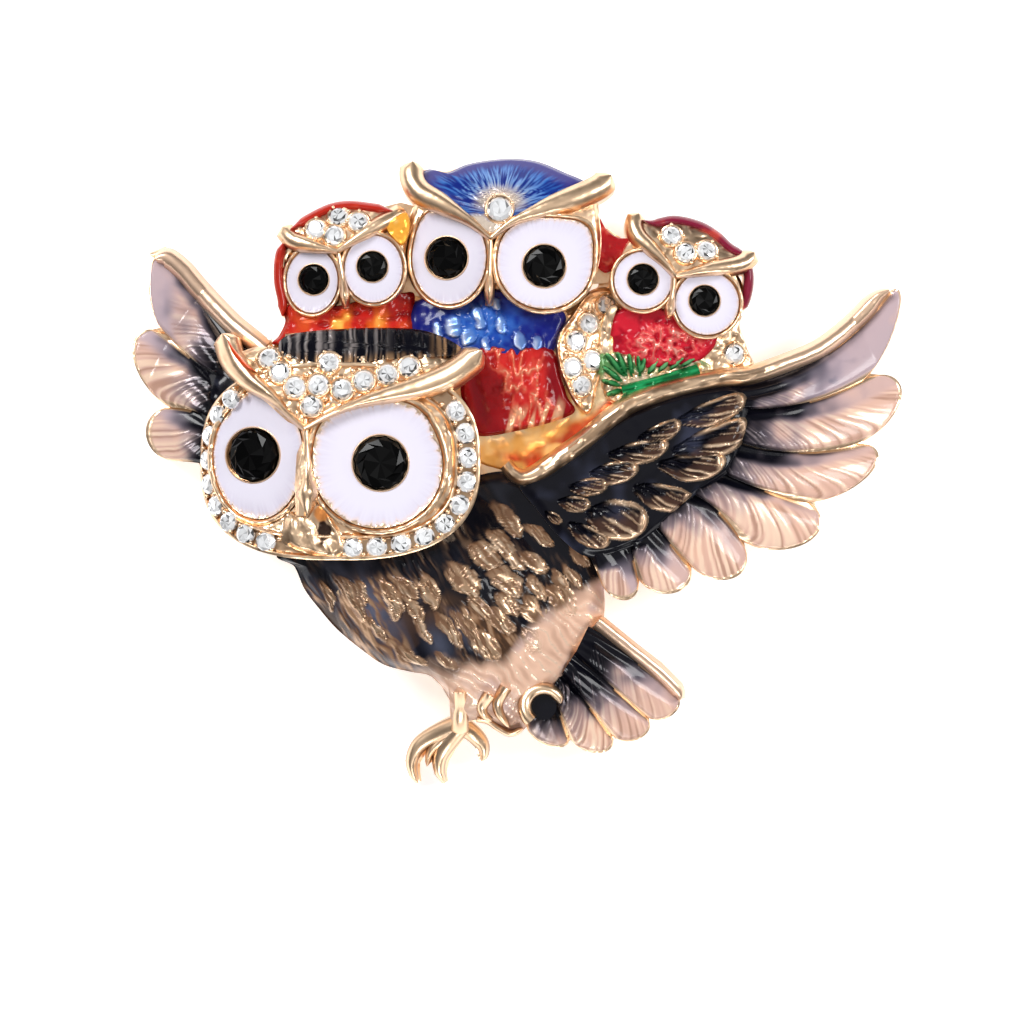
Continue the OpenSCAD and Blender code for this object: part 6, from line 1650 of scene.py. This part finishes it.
RIGHT_GAP = ((6.2, 20.4), (6.0, 18.4), (6.2, 16.8), (7.0, 15.9), (8.0, 16.4), (9.2, 17.4), (9.9, 18.6),
             (8.2, 18.7), (7.2, 19.3), (6.6, 20.3))
BRANCH_Z = 6.0


def branch():
    form = Form()

    def bark(x, y, t, w):
        line = noise(w * 1.6, t * 3, 0.35, 211)
        tint = coloured(GREEN, (BARK_LIGHT, 0.8 * ease(0.5, 0.85, line)),
                        (BARK_SHADE, 0.8 * ease(0.45, 0.2, line)))
        z = BRANCH_Z + 0.25 + 0.65 * crest(w, 2, 0.6) - 0.08 * ease(0.5, 0.2, line)
        return z, tint, np.full_like(x, 0.15)

    ridge(form, BRANCH, lambda t: np.full_like(t, 0.62), bark, rows=90, cols=17)
    form.build("branch", "green_enamel")


def bed_look(x, y, s):
    lobe, u, v = leaf_field(x, y, BRANCH_LEAVES)
    vein = ease(0.5, 0.2, noise(v * 1.5 + u, u * 2, 0.5, 213))
    leafy = ease(0.1, 0.3, lobe)
    crease = folds(x, y * 0.8, 0.6, 217)
    needle = ease(0.55, 0.75, noise(x + 0.5 * y, 0.3 * (y - 0.5 * x), 0.28, 218))
    needle = needle * ease(6.0, 7.2, y - 0.12 * x) * ease(10.4, 9.4, y) * (1 - leafy)
    lump = rough(x, y, 0.7, 215)
    tint = coloured(GOLD, (BED_AMBER, 0.7 * ease(-0.2, 0.7, lump)),
                    (BED_SHADE, 0.75 * ease(-0.1, -0.8, lump)), (BED_PALE, 0.7 * ease(0.6, 1.0, crease)),
                    (NEEDLE, 0.9 * needle), (LEAF, leafy),
                    (LEAF_PALE, 0.8 * leafy * ease(9.5, 11.0, x) * ease(0.4, 0.9, lobe)),
                    (LEAF_LIGHT, 0.8 * leafy * ease(0.55, 1.0, lobe)), (LEAF_VEIN, 0.7 * leafy * vein))
    lift = 0.10 * lump + 0.16 * crease * (1 - leafy) + 0.55 * lobe - 0.1 * leafy * vein
    return lift, tint, 0.9 - 0.8 * np.maximum(leafy, needle)


def red_patch(x, y, s):
    lump = rough(x, y, 0.8, 221)
    shine = ease(0.3, 0.9, lump)
    return 0.25 + 0.2 * lump, coloured(PATCH_RED, (PATCH_RED_LIGHT, 0.6 * shine)), 0.2 * shine


def amber_patch(x, y, s):
    lump = rough(x, y, 0.8, 223)
    tint = coloured(PATCH_AMBER, (PATCH_AMBER_LIGHT, 0.8 * ease(0.1, 0.8, lump)))
    return 0.25 + 0.2 * lump, tint, np.full_like(x, 0.35)


def side_look(x, y, s):
    lump, tint = hammered(x, y, 225, 0.14, 0.6)
    red = ease(12.6, 13.4, y)
    tint = coloured(tint, (AMBER, 0.3 * ease(0.2, 0.8, rough(x, y, 1.2, 226))), (SIDE_RED, red))
    return 0.1 + lump, tint, 1 - 0.8 * red


def perch():
    enamel_pad("branch_bed", "gold_casting", BRANCH_BED, (10.6, 7.6), level(BRANCH_Z), bed_look, 240, 44)
    enamel_pad("right_owlet_side", "gold_casting", RIGHT_SIDE, (16.9, 9.9), small_chest_z(RIGHT_AT),
               side_look, 160, 24)
    ring = Form()
    gold_pad(ring, WING_GAP, (7.1, 11.0), small_chest_z(RIGHT_AT), 0.55, 231, points=90, rows=10, deep=0.14)
    x, y = 17.3, 9.4
    z = float(small_chest_z(RIGHT_AT)(x, y)) + 0.22
    seat_ring(ring, x, y, z, SMALL_D, Vector((0, 0, 1)))
    ring.build("right_wing_setting", "gold_casting")
    stone_field("right_wing_stone", ((x, y),), level(z), d=SMALL_D, lift=0.05)
    enamel_pad("left_gap_patch", "gold_casting", LEFT_GAP, (-9.3, 19.3), level(6.9), amber_patch, 90, 16)
    enamel_pad("right_gap_patch", "gold_casting", RIGHT_GAP, (7.4, 17.6), level(5.4), red_patch, 110, 18)


# Stage, lights and camera

VIEW_CENTRE = (-0.4, -3.2)
VIEW_WIDTH = 81.92
SUBJECT_Z = 4.6
LENS = 150.0
SENSOR = 36.0


def stage():
    bpy.ops.mesh.primitive_plane_add(size=3.0, location=(0, 0, -0.0002))
    floor = bpy.context.active_object
    floor.name = "floor"
    material, shader = principled("floor_white", Base_Color=(0.93, 0.93, 0.94, 1), Roughness=0.9)
    shader.inputs["Specular IOR Level"].default_value = 0.1
    shader.inputs["Emission Color"].default_value = (1, 1, 1, 1)
    shader.inputs["Emission Strength"].default_value = 0.5
    floor.data.materials.append(material)


def area_light(name, place, size, power, colour=(1, 1, 1)):
    data = bpy.data.lights.new(name, "AREA")
    data.shape = "RECTANGLE"
    data.size, data.size_y = size
    data.energy = power
    data.color = colour
    light = bpy.data.objects.new(name, data)
    light.location = place
    light.rotation_euler = (-Vector(place)).to_track_quat("-Z", "Y").to_euler()
    bpy.context.scene.collection.objects.link(light)


def sky():
    """A studio's surroundings: bright overhead, dim at the sides."""
    world = bpy.data.worlds.new("studio")
    world.use_nodes = True
    nodes, links = world.node_tree.nodes, world.node_tree.links
    where = nodes.new("ShaderNodeTexCoord")
    parts = nodes.new("ShaderNodeSeparateXYZ")
    ramp = nodes.new("ShaderNodeValToRGB")
    links.new(where.outputs["Generated"], parts.inputs["Vector"])
    links.new(parts.outputs["Z"], ramp.inputs["Fac"])
    links.new(ramp.outputs["Color"], nodes["Background"].inputs["Color"])
    steps = ramp.color_ramp.elements
    steps[0].position, steps[0].color = 0.0, (0.30, 0.30, 0.32, 1)
    steps[1].position, steps[1].color = 0.98, (1.0, 1.0, 1.0, 1)
    for place, level in ((0.35, 0.10), (0.62, 0.30), (0.85, 0.62)):
        step = steps.new(place)
        step.color = (level, level, level * 1.04, 1)
    nodes["Background"].inputs["Strength"].default_value = 0.58
    bpy.context.scene.world = world


def lights():
    scene = bpy.context.scene
    scene.view_settings.view_transform = "Standard"
    scene.view_settings.look = "None"
    sky()
    area_light("key", (-0.30, 0.32, 0.42), (0.30, 0.16), 3.0)
    area_light("fill", (0.40, 0.10, 0.30), (0.12, 0.30), 1.5)
    area_light("low", (0.05, -0.45, 0.22), (0.36, 0.10), 1.0)


def camera():
    data = bpy.data.cameras.new("camera")
    data.lens = LENS
    data.sensor_width = SENSOR
    data.clip_start, data.clip_end = 0.01, 10
    eye_point = bpy.data.objects.new("camera", data)
    distance = VIEW_WIDTH * LENS / SENSOR
    eye_point.location = (VIEW_CENTRE[0] * MM, VIEW_CENTRE[1] * MM, (SUBJECT_Z + distance) * MM)
    bpy.context.scene.collection.objects.link(eye_point)
    bpy.context.scene.camera = eye_point


casting_core()
mother_head()
right_wing()
left_wing()
tail()
mother_body()
feet()
middle_owlet()
small_owlets()
branch()
perch()
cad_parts["bar_pin"].data.materials.clear()
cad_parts["bar_pin"].data.materials.append(steel)
stage()
lights()
camera()
